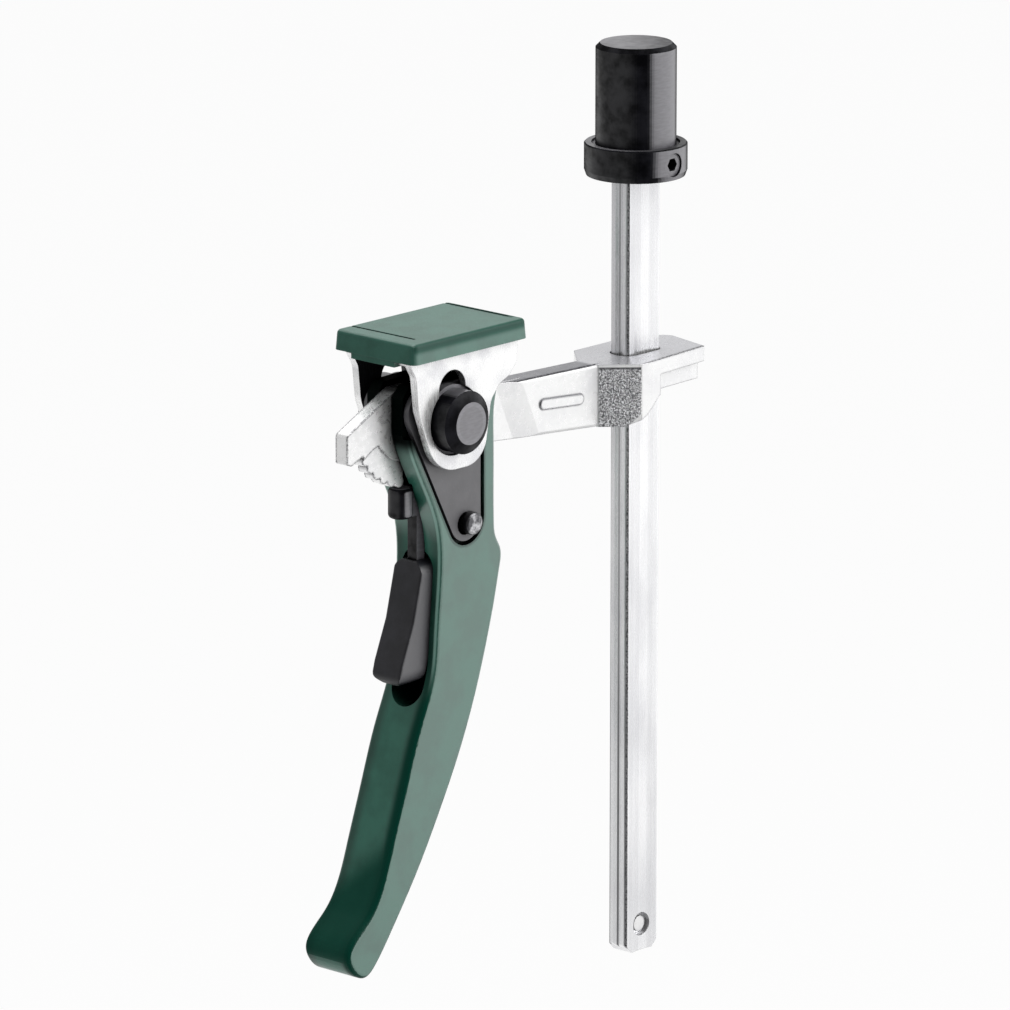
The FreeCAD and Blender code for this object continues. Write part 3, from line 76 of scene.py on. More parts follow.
class Shade:
    # small helper round one material's nodes

    def __init__(self, name):
        self.material = bpy.data.materials.new(name)
        self.material.use_nodes = True
        self.nodes = self.material.node_tree.nodes
        self.links = self.material.node_tree.links
        self.bsdf = self.nodes["Principled BSDF"]
        self.place = self.nodes.new("ShaderNodeTexCoord").outputs["Object"]
        self.x, self.y, self.z = self.split(self.place)
        self.plain = self.nodes.new("ShaderNodeNewGeometry")
        self.face = self.split(self.plain.outputs["True Normal"])

    def split(self, vector):
        node = self.nodes.new("ShaderNodeSeparateXYZ")
        self.links.new(vector, node.inputs[0])
        return node.outputs

    def feed(self, value, socket):
        if isinstance(value, (int, float)):
            socket.default_value = value
        elif isinstance(value, tuple):
            socket.default_value = tuple(value) + (1.0,) * (4 - len(value))
        else:
            self.links.new(value, socket)

    # sums

    def math(self, operation, first, second=0.0):
        node = self.nodes.new("ShaderNodeMath")
        node.operation = operation
        self.feed(first, node.inputs[0])
        self.feed(second, node.inputs[1])
        return node.outputs[0]

    def chain(self, operation, values):
        result = values[0]
        for value in values[1:]:
            result = self.math(operation, result, value)
        return result

    def product(self, *values):
        return self.chain("MULTIPLY", values)

    def total(self, *values):
        return self.chain("ADD", values)

    def largest(self, *values):
        return self.chain("MAXIMUM", values)

    def less(self, first, second):
        return self.math("SUBTRACT", first, second)

    def absolute(self, value):
        return self.math("ABSOLUTE", value)

    def ramp(self, value, low, high, toLow=0.0, toHigh=1.0, smooth=True):
        node = self.nodes.new("ShaderNodeMapRange")
        node.interpolation_type = "SMOOTHSTEP" if smooth else "LINEAR"
        self.feed(value, node.inputs["Value"])
        node.inputs["From Min"].default_value = low
        node.inputs["From Max"].default_value = high
        node.inputs["To Min"].default_value = toLow
        node.inputs["To Max"].default_value = toHigh
        return node.outputs["Result"]

    def between(self, factor, atZero, atOne):
        return self.ramp(factor, 0.0, 1.0, atZero, atOne)

    # places

    def rise(self, value, low, high):
        # zero below low, one above high
        return self.ramp(value, low * mm, high * mm)

    def fall(self, value, low, high):
        return self.ramp(value, low * mm, high * mm, 1.0, 0.0)

    def band(self, value, low, high, soft):
        # one between low and high, with soft edges
        return self.product(self.rise(value, low - soft, low), self.fall(value, high, high + soft))

    def facing(self, axis, low, high, sign=1.0):
        # one on faces that look along an axis; sign 0 takes both ways
        part = self.face[axis]
        part = self.absolute(part) if sign == 0 else self.product(part, sign)
        return self.ramp(part, low, high)

    def graze(self, low, high):
        # one at grazing view
        node = self.nodes.new("ShaderNodeLayerWeight")
        return self.ramp(node.outputs["Facing"], low, high)

    # patterns

    def stretched(self, kind, size, stretch):
        mapping = self.nodes.new("ShaderNodeMapping")
        mapping.inputs["Scale"].default_value = stretch
        self.links.new(self.place, mapping.inputs["Vector"])
        node = self.nodes.new(kind)
        node.inputs["Scale"].default_value = 1.0 / (size * mm)
        self.links.new(mapping.outputs[0], node.inputs["Vector"])
        return node

    def noise(self, size, detail, rough=0.55, stretch=(1, 1, 1)):
        # size is the width of one grain
        node = self.stretched("ShaderNodeTexNoise", size, stretch)
        node.inputs["Detail"].default_value = detail
        node.inputs["Roughness"].default_value = rough
        return node.outputs["Fac"]

    def cells(self, size):
        return self.stretched("ShaderNodeTexVoronoi", size, (1, 1, 1)).outputs["Distance"]

    # shape of the surface, and painted shade from nearby walls

    def nearby(self, reach):
        node = self.nodes.new("ShaderNodeAmbientOcclusion")
        node.samples = shading["cornerRays"]
        node.inputs["Distance"].default_value = reach * mm
        return node.outputs["AO"]

    def crevice(self, reach, darkest):
        # painted shade, soft in corners, one in the open
        clear = shading["creviceOpen"]
        return self.ramp(self.nearby(reach), 0.0, clear, darkest, 1.0, smooth=False)

    def hollow(self, reach, dark, bright):
        # painted shade, near zero deep between other parts, one in the open
        return self.ramp(self.nearby(reach), dark, bright, shading["hollowTone"], 1.0)

    def soften(self, radius):
        bevel = self.nodes.new("ShaderNodeBevel")
        bevel.samples = shading["bevelRays"]
        bevel.inputs["Radius"].default_value = radius * mm
        return bevel.outputs[0]

    def edge(self, radius, low, high):
        # one along sharp edges, from the bevelled normal against the plain one
        dot = self.nodes.new("ShaderNodeVectorMath")
        dot.operation = "DOT_PRODUCT"
        self.links.new(self.soften(radius), dot.inputs[0])
        self.links.new(self.plain.outputs["Normal"], dot.inputs[1])
        return self.ramp(self.less(1.0, dot.outputs["Value"]), low, high)

    def bump(self, height, depth, base=None):
        node = self.nodes.new("ShaderNodeBump")
        node.inputs["Strength"].default_value = 1.0
        node.inputs["Distance"].default_value = depth * mm
        self.feed(height, node.inputs["Height"])
        if base is not None:
            self.links.new(base, node.inputs["Normal"])
        return node.outputs[0]

    # colours

    def mix(self, factor, first, second):
        node = self.nodes.new("ShaderNodeMix")
        node.data_type = "RGBA"
        self.feed(factor, node.inputs["Factor"])
        self.feed(first, node.inputs["A"])
        self.feed(second, node.inputs["B"])
        return node.outputs["Result"]

    def times(self, colour, factor):
        node = self.nodes.new("ShaderNodeVectorMath")
        node.operation = "SCALE"
        self.feed(factor, node.inputs["Scale"])
        if isinstance(colour, tuple):
            node.inputs[0].default_value = colour[:3]
        else:
            self.links.new(colour, node.inputs[0])
        return node.outputs[0]

    def close(self, colour, rough, normal, **more):
        self.feed(colour, self.bsdf.inputs["Base Color"])
        self.feed(rough, self.bsdf.inputs["Roughness"])
        self.links.new(normal, self.bsdf.inputs["Normal"])
        for name, value in more.items():
            self.feed(value, self.bsdf.inputs[socketNames[name]])
        return self.material


greenPaintLook = {
    "deep": (0.012, 0.085, 0.058),
    "light": (0.020, 0.112, 0.078),
    "worn": (0.10, 0.25, 0.20),               # paint rubbed off the edges
    "wornShare": 0.35,
    "wornEdge": (0.25, 0.03, 0.3),            # radius and range of bend
    "cloud": (9.0, 3.0),                      # grain and detail
    "cloudRange": (0.35, 0.65),
    "orangePeel": (0.9, 2.0, 0.4),
    "peelDepth": 0.012,
    "edgeRound": 0.18,
    "crevice": (4.0, 0.4),                    # reach and darkest tone
    "hollow": (15.0, 0.30, 0.72),
    "cheekHeight": (-64.0, -58.0),            # painted shade over the space between the bracket's cheeks
    "cheekSpan": (-99.0, -70.0, 2.0),
    "cheekHalf": (7.3, 8.2),
    "cheekTone": 0.015,
    "frontAngle": (0.35, 0.7),                # front face: painted highlight at its middle and painted shade at both edges
    "frontAcross": (3.2, 6.0),
    "middle": 1.15,
    "dip": 0.6,
    "earsFrom": (-90.0, -78.0),
    "ears": 1.3,
    "gripTop": (-124.0, -112.0),
    "glint": 0.6,                             # painted highlight, a pale line where the front meets the sides
    "glintAcross": (6.75, 7.05, 0.3),
    "glintTone": (0.22, 0.40, 0.34),
    "shadow": (0.0015, 0.040, 0.026),         # deep green along the grip's near edge and its foot
    "shadowTurn": (0.90, 0.99),
    "shadowAcross": (-6.3, -3.6),
    "shadowTop": (-126.0, -116.0),
    "footLean": 0.9,
    "footTop": (-168.0, -156.0),
    "footDown": (0.2, 0.6),
    "footShare": 0.85,
    "sideAngle": (0.6, 0.9),
    "rim": 0.35,                              # painted shade, a dark line round the sides above the grip
    "rimEdge": (1.4, 0.002, 0.04),
    "rough": (0.30, 0.40),
    "roughOver": (0.3, 0.7),                  # part of the cloud that it follows
    "specular": 0.9,
    "coat": 0.55,
    "coatRough": 0.2,
    "frontGloss": 0.28,
    "earsGloss": 0.9,
    "rimGloss": 0.5,
    "shadowGloss": 0.1,
}


def greenPaint():
    look = greenPaintLook
    shade = Shade("greenPaint")
    cloud = shade.noise(*look["cloud"])
    across = shade.absolute(shade.y)
    colour = shade.mix(shade.ramp(cloud, *look["cloudRange"]), look["deep"], look["light"])
    worn = shade.product(shade.edge(*look["wornEdge"]), look["wornShare"])
    colour = shade.mix(worn, colour, look["worn"])
    # painted shade: everything between the bracket's cheeks lies in the dark
    under = shade.product(shade.rise(shade.z, *look["cheekHeight"]),
                          shade.band(shade.x, *look["cheekSpan"]),
                          shade.fall(across, *look["cheekHalf"]))
    inside = shade.product(shade.hollow(*look["hollow"]),
                           shade.between(under, 1.0, look["cheekTone"]))
    # painted shade on the front face, darkening from its middle towards both edges, less so at the
    # ears, which get a painted highlight
    front = shade.facing(0, *look["frontAngle"], -1.0)
    ears = shade.product(front, shade.rise(shade.z, *look["earsFrom"]))
    near, far = look["frontAcross"]
    dip = shade.ramp(across, near * mm, far * mm, look["middle"], look["dip"])
    tone = shade.total(shade.product(front, shade.less(dip, 1.0)), 1.0)
    colour = shade.times(colour, shade.largest(tone, shade.product(ears, look["ears"])))
    # painted highlight above the grip, a pale line where the front meets the sides
    high = shade.rise(shade.z, *look["gripTop"])
    glint = shade.product(shade.band(across, *look["glintAcross"]), front, high, look["glint"])
    colour = shade.mix(glint, colour, look["glintTone"])
    # on the grip a deep green shadow along the near edge and over the foot
    turned = shade.between(shade.facing(1, *look["shadowTurn"], 0), 1.0, 0.0)
    shadow = shade.product(turned, shade.fall(shade.y, *look["shadowAcross"]),
                           shade.fall(shade.z, *look["shadowTop"]))
    lean = shade.total(shade.z, shade.product(shade.y, look["footLean"]))
    notBelow = shade.between(shade.facing(2, *look["footDown"], -1.0), 1.0, 0.0)
    foot = shade.product(shade.fall(lean, *look["footTop"]), turned, notBelow, look["footShare"])
    shadow = shade.largest(shadow, foot)
    colour = shade.mix(shadow, colour, look["shadow"])
    # painted shade along the sides' edges above the grip
    rim = shade.product(shade.edge(*look["rimEdge"]), shade.facing(1, *look["sideAngle"], 0), high)
    colour = shade.times(colour, shade.between(rim, 1.0, look["rim"]))
    # painted shade in corners, in hollows and between the cheeks
    colour = shade.times(shade.times(colour, shade.crevice(*look["crevice"])), inside)
    rough = shade.ramp(cloud, *look["roughOver"], *look["rough"])
    normal = shade.bump(shade.noise(*look["orangePeel"]), look["peelDepth"],
                        shade.soften(look["edgeRound"]))
    gloss = shade.product(inside,
                          shade.largest(shade.between(front, 1.0, look["frontGloss"]),
                                        shade.product(ears, look["earsGloss"])),
                          shade.between(rim, 1.0, look["rimGloss"]),
                          shade.between(shadow, 1.0, look["shadowGloss"]))
    return shade.close(colour, rough, normal, specular=shade.product(gloss, look["specular"]),
                       coat=shade.product(gloss, look["coat"]), coatRough=look["coatRough"])


greenPlasticLook = {
    "deep": (0.014, 0.090, 0.062),
    "light": (0.022, 0.116, 0.082),
    "worn": (0.12, 0.27, 0.22),
    "wornShare": 0.3,
    "wornEdge": (0.3, 0.02, 0.3),
    "grain": 0.35,
    "grainDepth": 0.010,
    "cloud": (6.0, 3.0),
    "cloudRange": (0.35, 0.65),
    "edgeRound": 0.15,
    "crevice": (2.5, 0.15),
    "upAngle": (0.3, 0.7),
    "nearAngle": (0.5, 0.85),
    "frontAngle": (0.6, 0.85),
    "rim": 0.9,                               # painted shade, deep green along the rims of the upper face
    "rimNear": (-12.9, -12.0),
    "rimBehind": (-56.4, -56.0),
    "rimBehindHalf": (9.6, 10.4),
    "skirtTop": (-36.2, -33.8),
    "shadow": (0.002, 0.045, 0.030),
    "front": 0.85,
    "rough": (0.41, 0.54),
    "roughOver": (0.0, 0.6),
    "specular": (0.95, 0.32),                 # in the open, and on rims and front
    "coat": 0.2,
    "coatRough": 0.3,
    "rimDull": 1.3,
}


def greenPlastic():
    look = greenPlasticLook
    shade = Shade("greenPlastic")
    grain = shade.cells(look["grain"])
    cloud = shade.noise(*look["cloud"])
    colour = shade.mix(shade.ramp(cloud, *look["cloudRange"]), look["deep"], look["light"])
    worn = shade.product(shade.edge(*look["wornEdge"]), look["wornShare"])
    colour = shade.mix(worn, colour, look["worn"])
    # painted shade, deep green along the rim of the upper face and at the top of the skirt
    upward = shade.facing(2, *look["upAngle"])
    near = shade.fall(shade.y, *look["rimNear"])
    behind = shade.product(shade.rise(shade.x, *look["rimBehind"]),
                           shade.fall(shade.absolute(shade.y), *look["rimBehindHalf"]))
    top = shade.product(shade.facing(1, *look["nearAngle"], -1.0),
                        shade.rise(shade.z, *look["skirtTop"]))
    rim = shade.largest(shade.product(shade.largest(near, behind), upward), top)
    colour = shade.mix(shade.product(rim, look["rim"]), colour, look["shadow"])
    # painted shade: the front faces are darker
    front = shade.facing(0, *look["frontAngle"], -1.0)
    colour = shade.times(colour, shade.between(front, 1.0, look["front"]))
    # painted shade in corners
    colour = shade.times(colour, shade.crevice(*look["crevice"]))
    rough = shade.ramp(grain, *look["roughOver"], *look["rough"])
    dull = shade.largest(shade.product(rim, look["rimDull"]), front)
    normal = shade.bump(grain, look["grainDepth"], shade.soften(look["edgeRound"]))
    return shade.close(colour, rough, normal, specular=shade.between(dull, *look["specular"]),
                       coat=shade.between(dull, look["coat"], 0.0), coatRough=look["coatRough"])


blackSteelLook = {
    "deep": (0.0025, 0.0025, 0.0032),
    "light": (0.010, 0.010, 0.013),
    "edgeTone": (0.12, 0.12, 0.13),
    "edgeShare": 0.4,
    "edge": (0.25, 0.03, 0.3),
    "turned": (0.5, 3.0, 0.5, (0.25, 0.25, 1.0)),
    "turnedRange": (0.3, 0.7),
    "turnedDepth": 0.005,
    "blotch": (5.0, 4.0),
    "blotchRange": (0.35, 0.7),
    "endAngle": (0.85, 0.95),
    "edgeRound": 0.2,
    "hollow": (9.0, 0.25, 0.7),
    "worn": (0.135, 0.132, 0.145),            # turned ends, and the painted light on the peg's top
    "wornRange": (0.88, 1.12),
    "studX": -76.4,
    "studZ": -54.6,
    "ring": (4.3, 4.9, 0.35),                 # pale ring on the studs' ends
    "ringTone": 1.2,
    "fadeX": 0.68,                            # the way in which the painted light on the peg's top fades
    "fadeY": 0.74,
    "fade": (-6.0, 10.0),
    "fadeTo": 0.15,
    "topBlotch": (0.3, 0.6, 0.6, 1.0),
    "rough": (0.31, 0.42),
    "specular": 0.23,
    "endSpecular": 0.8,
    "blotchGloss": (0.3, 0.68, 0.5, 2.0),
    "leftFace": (0.66, 0.84),                 # faces that look far enough along -X shine in full
    "rightGloss": (-0.55, 0.2, 0.08, 0.30),
    "grazeFrom": (0.45, 0.9),
    "grazeGloss": 0.02,
}


def blackSteel():
    look = blackSteelLook
    shade = Shade("blackSteel")
    turned = shade.noise(*look["turned"])
    blotch = shade.noise(*look["blotch"])
    colour = shade.mix(shade.ramp(blotch, *look["blotchRange"]), look["deep"], look["light"])
    colour = shade.mix(shade.product(shade.edge(*look["edge"]), look["edgeShare"]), colour,
                       look["edgeTone"])
    # turned ends are worn to a plain grey, palest in a ring near the stud's edge
    ends = shade.facing(1, *look["endAngle"], 0)
    offX = shade.less(shade.x, look["studX"] * mm)
    offZ = shade.less(shade.z, look["studZ"] * mm)
    around = shade.math("SQRT", shade.total(shade.product(offX, offX), shade.product(offZ, offZ)))
    ring = shade.product(shade.band(around, *look["ring"]), ends)
    grey = shade.ramp(turned, *look["turnedRange"], *look["wornRange"])
    grey = shade.times(look["worn"], grey)
    colour = shade.times(shade.mix(ends, colour, grey), shade.between(ring, 1.0, look["ringTone"]))
    # painted light on the peg's top face, fading towards one side
    low, high = look["fade"]
    fade = shade.less(shade.product(shade.x, look["fadeX"]), shade.product(shade.y, look["fadeY"]))
    fade = shade.ramp(fade, low * mm, high * mm, 1.0, look["fadeTo"])
    top = shade.product(shade.facing(2, *look["endAngle"]), fade)
    colour = shade.mix(shade.product(top, shade.ramp(blotch, *look["topBlotch"])), colour,
                       look["worn"])
    # worn patches shine more; the right side and grazing views shine less
    shape = shade.largest(shade.facing(0, *look["leftFace"], -1.0),
                          shade.ramp(shade.face[0], *look["rightGloss"]))
    graze = shade.between(shade.graze(*look["grazeFrom"]), 1.0, look["grazeGloss"])
    gloss = shade.product(shade.ramp(blotch, *look["blotchGloss"]), shape, graze,
                          look["specular"])
    bare = shade.largest(ends, top)
    gloss = shade.largest(gloss, shade.product(bare, look["endSpecular"]))
    rough = shade.ramp(turned, *look["turnedRange"], *look["rough"])
    normal = shade.bump(turned, look["turnedDepth"], shade.soften(look["edgeRound"]))
    return shade.close(colour, rough, normal,
                       specular=shade.product(shade.hollow(*look["hollow"]), gloss))


barLook = {
    "bright": (0.93, 0.93, 0.94),
    "grey": (0.74, 0.74, 0.76),
    "streak": (0.35, 4.0, 0.6, (1.0, 1.0, 0.03)),
    "streakTone": (0.55, 0.55, 0.57),
    "streakShare": (0.5, 0.75, 0.0, 0.14),
    "streakRelief": 0.08,
    "cloud": (14.0, 3.0, 0.5, (1.0, 1.0, 0.4)),
    "cloudRange": (0.35, 0.7),
    "wideAngle": (0.6, 0.85),
    "narrowAngle": (0.45, 0.7),
    "nearAngle": (0.3, 0.8),
    "band": (0.58, 0.58, 0.60),               # painted shade, soft grey bands on the wide faces
    "leftBand": (-4.7, -1.5, 0.5),
    "rightBand": (2.2, 4.7, 0.6),
    "faintLine": (-1.3, -1.2, 0.2),
    "faintGain": 1.4,
    "bandShare": 0.25,
    "groove": (0.05, 0.05, 0.055),            # painted shade, dark lines on the narrow faces
    "narrowFrom": (5.0, 5.3),
    "grooveSpan": (-1.0, 0.25, 0.2),
    "besideSpan": (2.35, 2.75, 0.18),
    "besideShare": 0.9,
    "cornerSpan": (-3.2, -2.6, 0.12),
    "nick": (0.4, 3.0, 0.75),
    "nickRange": (0.40, 0.56, 0.35, 1.0),
    "nickDepth": 0.05,
    "lowerFade": (-170.0, -90.0, 0.85, 0.5),
    "lip": (5.55, 5.9, 0.0, 0.4),             # grey line along the wide faces' far edge
    "lipTone": (0.30, 0.30, 0.31),
    "nearSide": 0.76,                         # tone of the painted shade on faces that look along -Y
    "metal": 0.65,
    "rough": (0.19, 0.34),
    "roughOver": (0.3, 0.7),
    "edgeRound": 0.15,
}


def drawnBar():
    look = barLook
    shade = Shade("drawnBar")
    streak = shade.noise(*look["streak"])
    cloud = shade.noise(*look["cloud"])
    acrossX = shade.absolute(shade.x)
    acrossY = shade.absolute(shade.y)
    colour = shade.mix(shade.ramp(cloud, *look["cloudRange"]), look["bright"], look["grey"])
    colour = shade.mix(shade.ramp(streak, *look["streakShare"]), colour, look["streakTone"])
    # painted shade in soft grey bands on the wide faces
    wide = shade.facing(1, *look["wideAngle"], 0)
    faint = shade.product(shade.band(shade.x, *look["faintLine"]), look["faintGain"])
    bands = shade.largest(shade.band(shade.x, *look["leftBand"]),
                          shade.band(shade.x, *look["rightBand"]), faint)
    colour = shade.mix(shade.product(bands, wide, look["bandShare"]), colour, look["band"])
    # painted shade in the groove between the two beads and in the lines beside them, and a dark
    # line nicked at the near corner
    narrow = shade.product(shade.rise(acrossX, *look["narrowFrom"]),
                           shade.facing(0, *look["narrowAngle"], 0))
    groove = shade.product(shade.band(acrossY, *look["grooveSpan"]), narrow)
    beside = shade.product(shade.band(acrossY, *look["besideSpan"]), narrow, look["besideShare"])
    nicks = shade.ramp(shade.noise(*look["nick"]), *look["nickRange"])
    corner = shade.product(shade.band(shade.y, *look["cornerSpan"]), narrow, nicks)
    low, high, *depths = look["lowerFade"]
    lower = shade.ramp(shade.z, low * mm, high * mm, *depths)
    dark = shade.largest(shade.product(shade.largest(groove, beside), lower), corner)
    colour = shade.mix(dark, colour, look["groove"])
    # painted shade on faces that look along -Y
    near = shade.between(shade.facing(1, *look["nearAngle"], -1.0), 1.0, look["nearSide"])
    low, high, *shares = look["lip"]
    lip = shade.product(shade.ramp(shade.x, low * mm, high * mm, *shares), wide)
    colour = shade.mix(lip, shade.times(colour, near), look["lipTone"])
    rough = shade.ramp(streak, *look["roughOver"], *look["rough"])
    height = shade.less(shade.product(streak, look["streakRelief"]), corner)
    normal = shade.bump(height, look["nickDepth"], shade.soften(look["edgeRound"]))
    return shade.close(colour, rough, normal, metal=look["metal"])


forgingLook = {
    "bright": (0.93, 0.93, 0.93),
    "grey": (0.86, 0.86, 0.87),
    "cast": (1.6, 5.0, 0.6),
    "castTone": (0.45, 0.45, 0.47),
    "castShare": (0.60, 0.76, 0.0, 0.15),
    "castRelief": 0.05,
    "cloud": (7.0, 3.0),
    "cloudRange": (0.4, 0.72),
    "levelAngle": (0.2, 0.45),
    "outwardAngle": (0.3, 0.5),
    "upAngle": (0.55, 0.8),
    "nearAngle": (0.3, 0.8),
    "patch": (0.045, 0.045, 0.05),            # the sand-rough face of the boss
    "grit": (0.95, 0.95, 0.97),
    "gritNoise": (0.42, 5.0, 0.8),
    "gritRange": (0.42, 0.62),
    "gritRough": 0.25,
    "patchFrom": -17.2,
    "patchTo": -10.1,
    "patchSoft": 0.25,
    "patchTop": -53.2,
    "patchLine": (-54.1, -53.6, 1.0, 0.15),   # dark line along the patch's top
    "patchSide": (-3.6, -3.2),
    "slantSlope": 1.3,
    "slant": (52.0, 52.4),
    "upper": (0.46, 0.46, 0.49),              # painted shade on upper faces, and on those of the web
    "upperShare": 0.75,
    "upperFrom": (-66.0, -60.0),
    "webTop": (0.22, 0.22, 0.24),
    "webTo": (-20.0, -18.0),
    "speck": (0.5, 3.0, 0.75),
    "speckRange": (0.38, 0.55),
    "rimLine": (0.03, 0.03, 0.035),
    "edgeSlope": 0.076,                       # the boss's near edge, y against x
    "bossEdge": (-10.1, -9.6),
    "bossFrom": -7.5,
    "webEdge": (-2.7, -2.4),
    "webLineFrom": -18.0,
    "tabLine": (0.05, 0.05, 0.055),
    "tabTo": (-91.0, -89.0),
    "tabEdge": (0.9, 0.004, 0.05),
    "pillSpan": (-39.6, -21.8, 0.3),
    "pillHeight": (-62.4, -56.8, 0.3),
    "outline": (0.30, 0.30, 0.32),            # grey along the edges, more so round the pill
    "outlineEdge": (0.7, 0.004, 0.04),
    "outlineShare": (0.25, 0.9),
    "nearSide": 0.70,                         # tone of the painted shade on faces that look along -Y
    "crevice": (3.0, 0.45),
    "hollow": (11.0, 0.12, 0.6),
    "tongue": 0.06,                           # tone of the painted shade on the tongue between the cheeks
    "tongueRagged": 3.0,
    "tongueHeight": (-70.0, -56.0),
    "tongueShift": 4.5,
    "tongueFrom": (-90.5, -86.0),
    "tongueTo": (-68.0, -62.0),
    "metal": 0.75,
    "patchMetal": 0.12,
    "tongueMetal": 0.2,
    "specular": (0.5, 0.1),
    "rough": (0.24, 0.42),
    "roughOver": (0.3, 0.7),
    "relief": 0.22,
    "edgeRound": 0.35,
}


def platedForging():
    look = forgingLook
    shade = Shade("platedForging")
    cast = shade.noise(*look["cast"])
    cloud = shade.noise(*look["cloud"])
    colour = shade.mix(shade.ramp(cloud, *look["cloudRange"]), look["bright"], look["grey"])
    colour = shade.mix(shade.ramp(cast, *look["castShare"]), colour, look["castTone"])
    # the sand-rough face of the boss, with its lower outer corner cut off
    alongX = shade.band(shade.x, look["patchFrom"], look["patchTo"], look["patchSoft"])
    upright = shade.less(1.0, shade.facing(2, *look["levelAngle"], 0))
    flare = shade.product(alongX, upright, shade.fall(shade.y, *look["patchSide"]),
                          shade.facing(1, *look["outwardAngle"], -1.0))
    below = shade.fall(shade.z, look["patchTop"] - look["patchSoft"], look["patchTop"])
    slant = shade.less(shade.product(shade.x, look["slantSlope"]), shade.z)
    patch = shade.product(flare, below, shade.fall(slant, *look["slant"]))
    grit = shade.noise(*look["gritNoise"])
    low, high, *tones = look["patchLine"]
    bright = shade.product(shade.ramp(grit, *look["gritRange"]),
                           shade.ramp(shade.z, low * mm, high * mm, *tones))
    colour = shade.mix(patch, colour, shade.mix(bright, look["patch"], look["grit"]))
    # painted shade making the upper faces grey, with a dark grainy line along their edges
    upward = shade.product(shade.facing(2, *look["upAngle"]),
                           shade.rise(shade.x, *look["upperFrom"]))
    colour = shade.mix(shade.product(upward, look["upperShare"]), colour, look["upper"])
    web = shade.product(upward, shade.fall(shade.x, *look["webTo"]))
    colour = shade.mix(web, colour, look["webTop"])
    speck = shade.ramp(shade.noise(*look["speck"]), *look["speckRange"])
    near = shade.less(shade.y, shade.product(shade.x, look["edgeSlope"]))
    bossLine = shade.product(shade.fall(near, *look["bossEdge"]),
                             shade.rise(shade.x, look["patchTo"], look["bossFrom"]))
    webLine = shade.product(shade.fall(shade.y, *look["webEdge"]),
                            shade.fall(shade.x, look["webLineFrom"], look["patchFrom"]))
    rimLine = shade.product(shade.largest(bossLine, webLine), speck, upward)
    colour = shade.mix(rimLine, colour, look["rimLine"])
    tab = shade.product(shade.fall(shade.x, *look["tabTo"]), speck, shade.edge(*look["tabEdge"]))
    colour = shade.mix(tab, colour, look["tabLine"])
    pill = shade.product(shade.band(shade.x, *look["pillSpan"]),
                         shade.band(shade.z, *look["pillHeight"]))
    outline = shade.product(shade.edge(*look["outlineEdge"]),
                            shade.between(pill, *look["outlineShare"]))
    colour = shade.mix(outline, colour, look["outline"])
    # painted shade on faces that look along -Y, except on the boss's rough face
    flank = shade.product(shade.facing(1, *look["nearAngle"], -1.0),
                          shade.between(flare, 1.0, 0.0))
    colour = shade.times(colour, shade.between(flank, 1.0, look["nearSide"]))
    # painted shade in corners and in the hollows between parts
    colour = shade.times(colour, shade.crevice(*look["crevice"]))
    colour = shade.times(colour, shade.hollow(*look["hollow"]))
    # painted shade: the tongue goes dark where it enters the bracket
    low, high = look["tongueHeight"]
    shift = shade.ramp(shade.z, low * mm, high * mm, -1.0, 0.0)
    inward = shade.total(shade.x, shade.product(cast, look["tongueRagged"] * mm),
                         shade.product(shift, look["tongueShift"] * mm))
    deep = shade.product(shade.rise(inward, *look["tongueFrom"]),
                         shade.fall(shade.x, *look["tongueTo"]))
    colour = shade.times(colour, shade.between(deep, 1.0, look["tongue"]))
    rough = shade.total(shade.ramp(cast, *look["roughOver"], *look["rough"]),
                        shade.product(patch, look["gritRough"]))
    height = shade.total(shade.product(cast, look["castRelief"]), shade.product(grit, patch))
    normal = shade.bump(height, look["relief"], shade.soften(look["edgeRound"]))
    metal = shade.product(shade.between(flare, look["metal"], look["patchMetal"]),
                          shade.between(deep, 1.0, look["tongueMetal"]))
    return shade.close(colour, rough, normal, metal=metal,
                       specular=shade.between(deep, *look["specular"]))


sheetLook = {
    "bright": (0.94, 0.94, 0.94),
    "grey": (0.76, 0.76, 0.78),
    "roll": (0.5, 4.0, 0.6, (1.0, 1.0, 0.12)),
    "rollDepth": 0.010,
    "cloud": (8.0, 3.0),
    "cloudRange": (0.4, 0.7),
    "crevice": (4.0, 0.4),
    "hollow": (12.0, 0.15, 0.6),
    "inner": (0.006, 0.006, 0.007),           # painted shade on the cheeks' inner faces
    "innerAngle": (0.5, 0.8),
    "innerHalf": (9.0, 9.3),
    "innerTop": (-36.9, -36.6),
    "nearAngle": (0.3, 0.8),
    "nearSide": 0.75,
    "metal": 0.7,
    "specular": (0.5, 0.05),
    "rough": (0.22, 0.36),
    "roughOver": (0.3, 0.7),
    "edgeRound": 0.3,
}


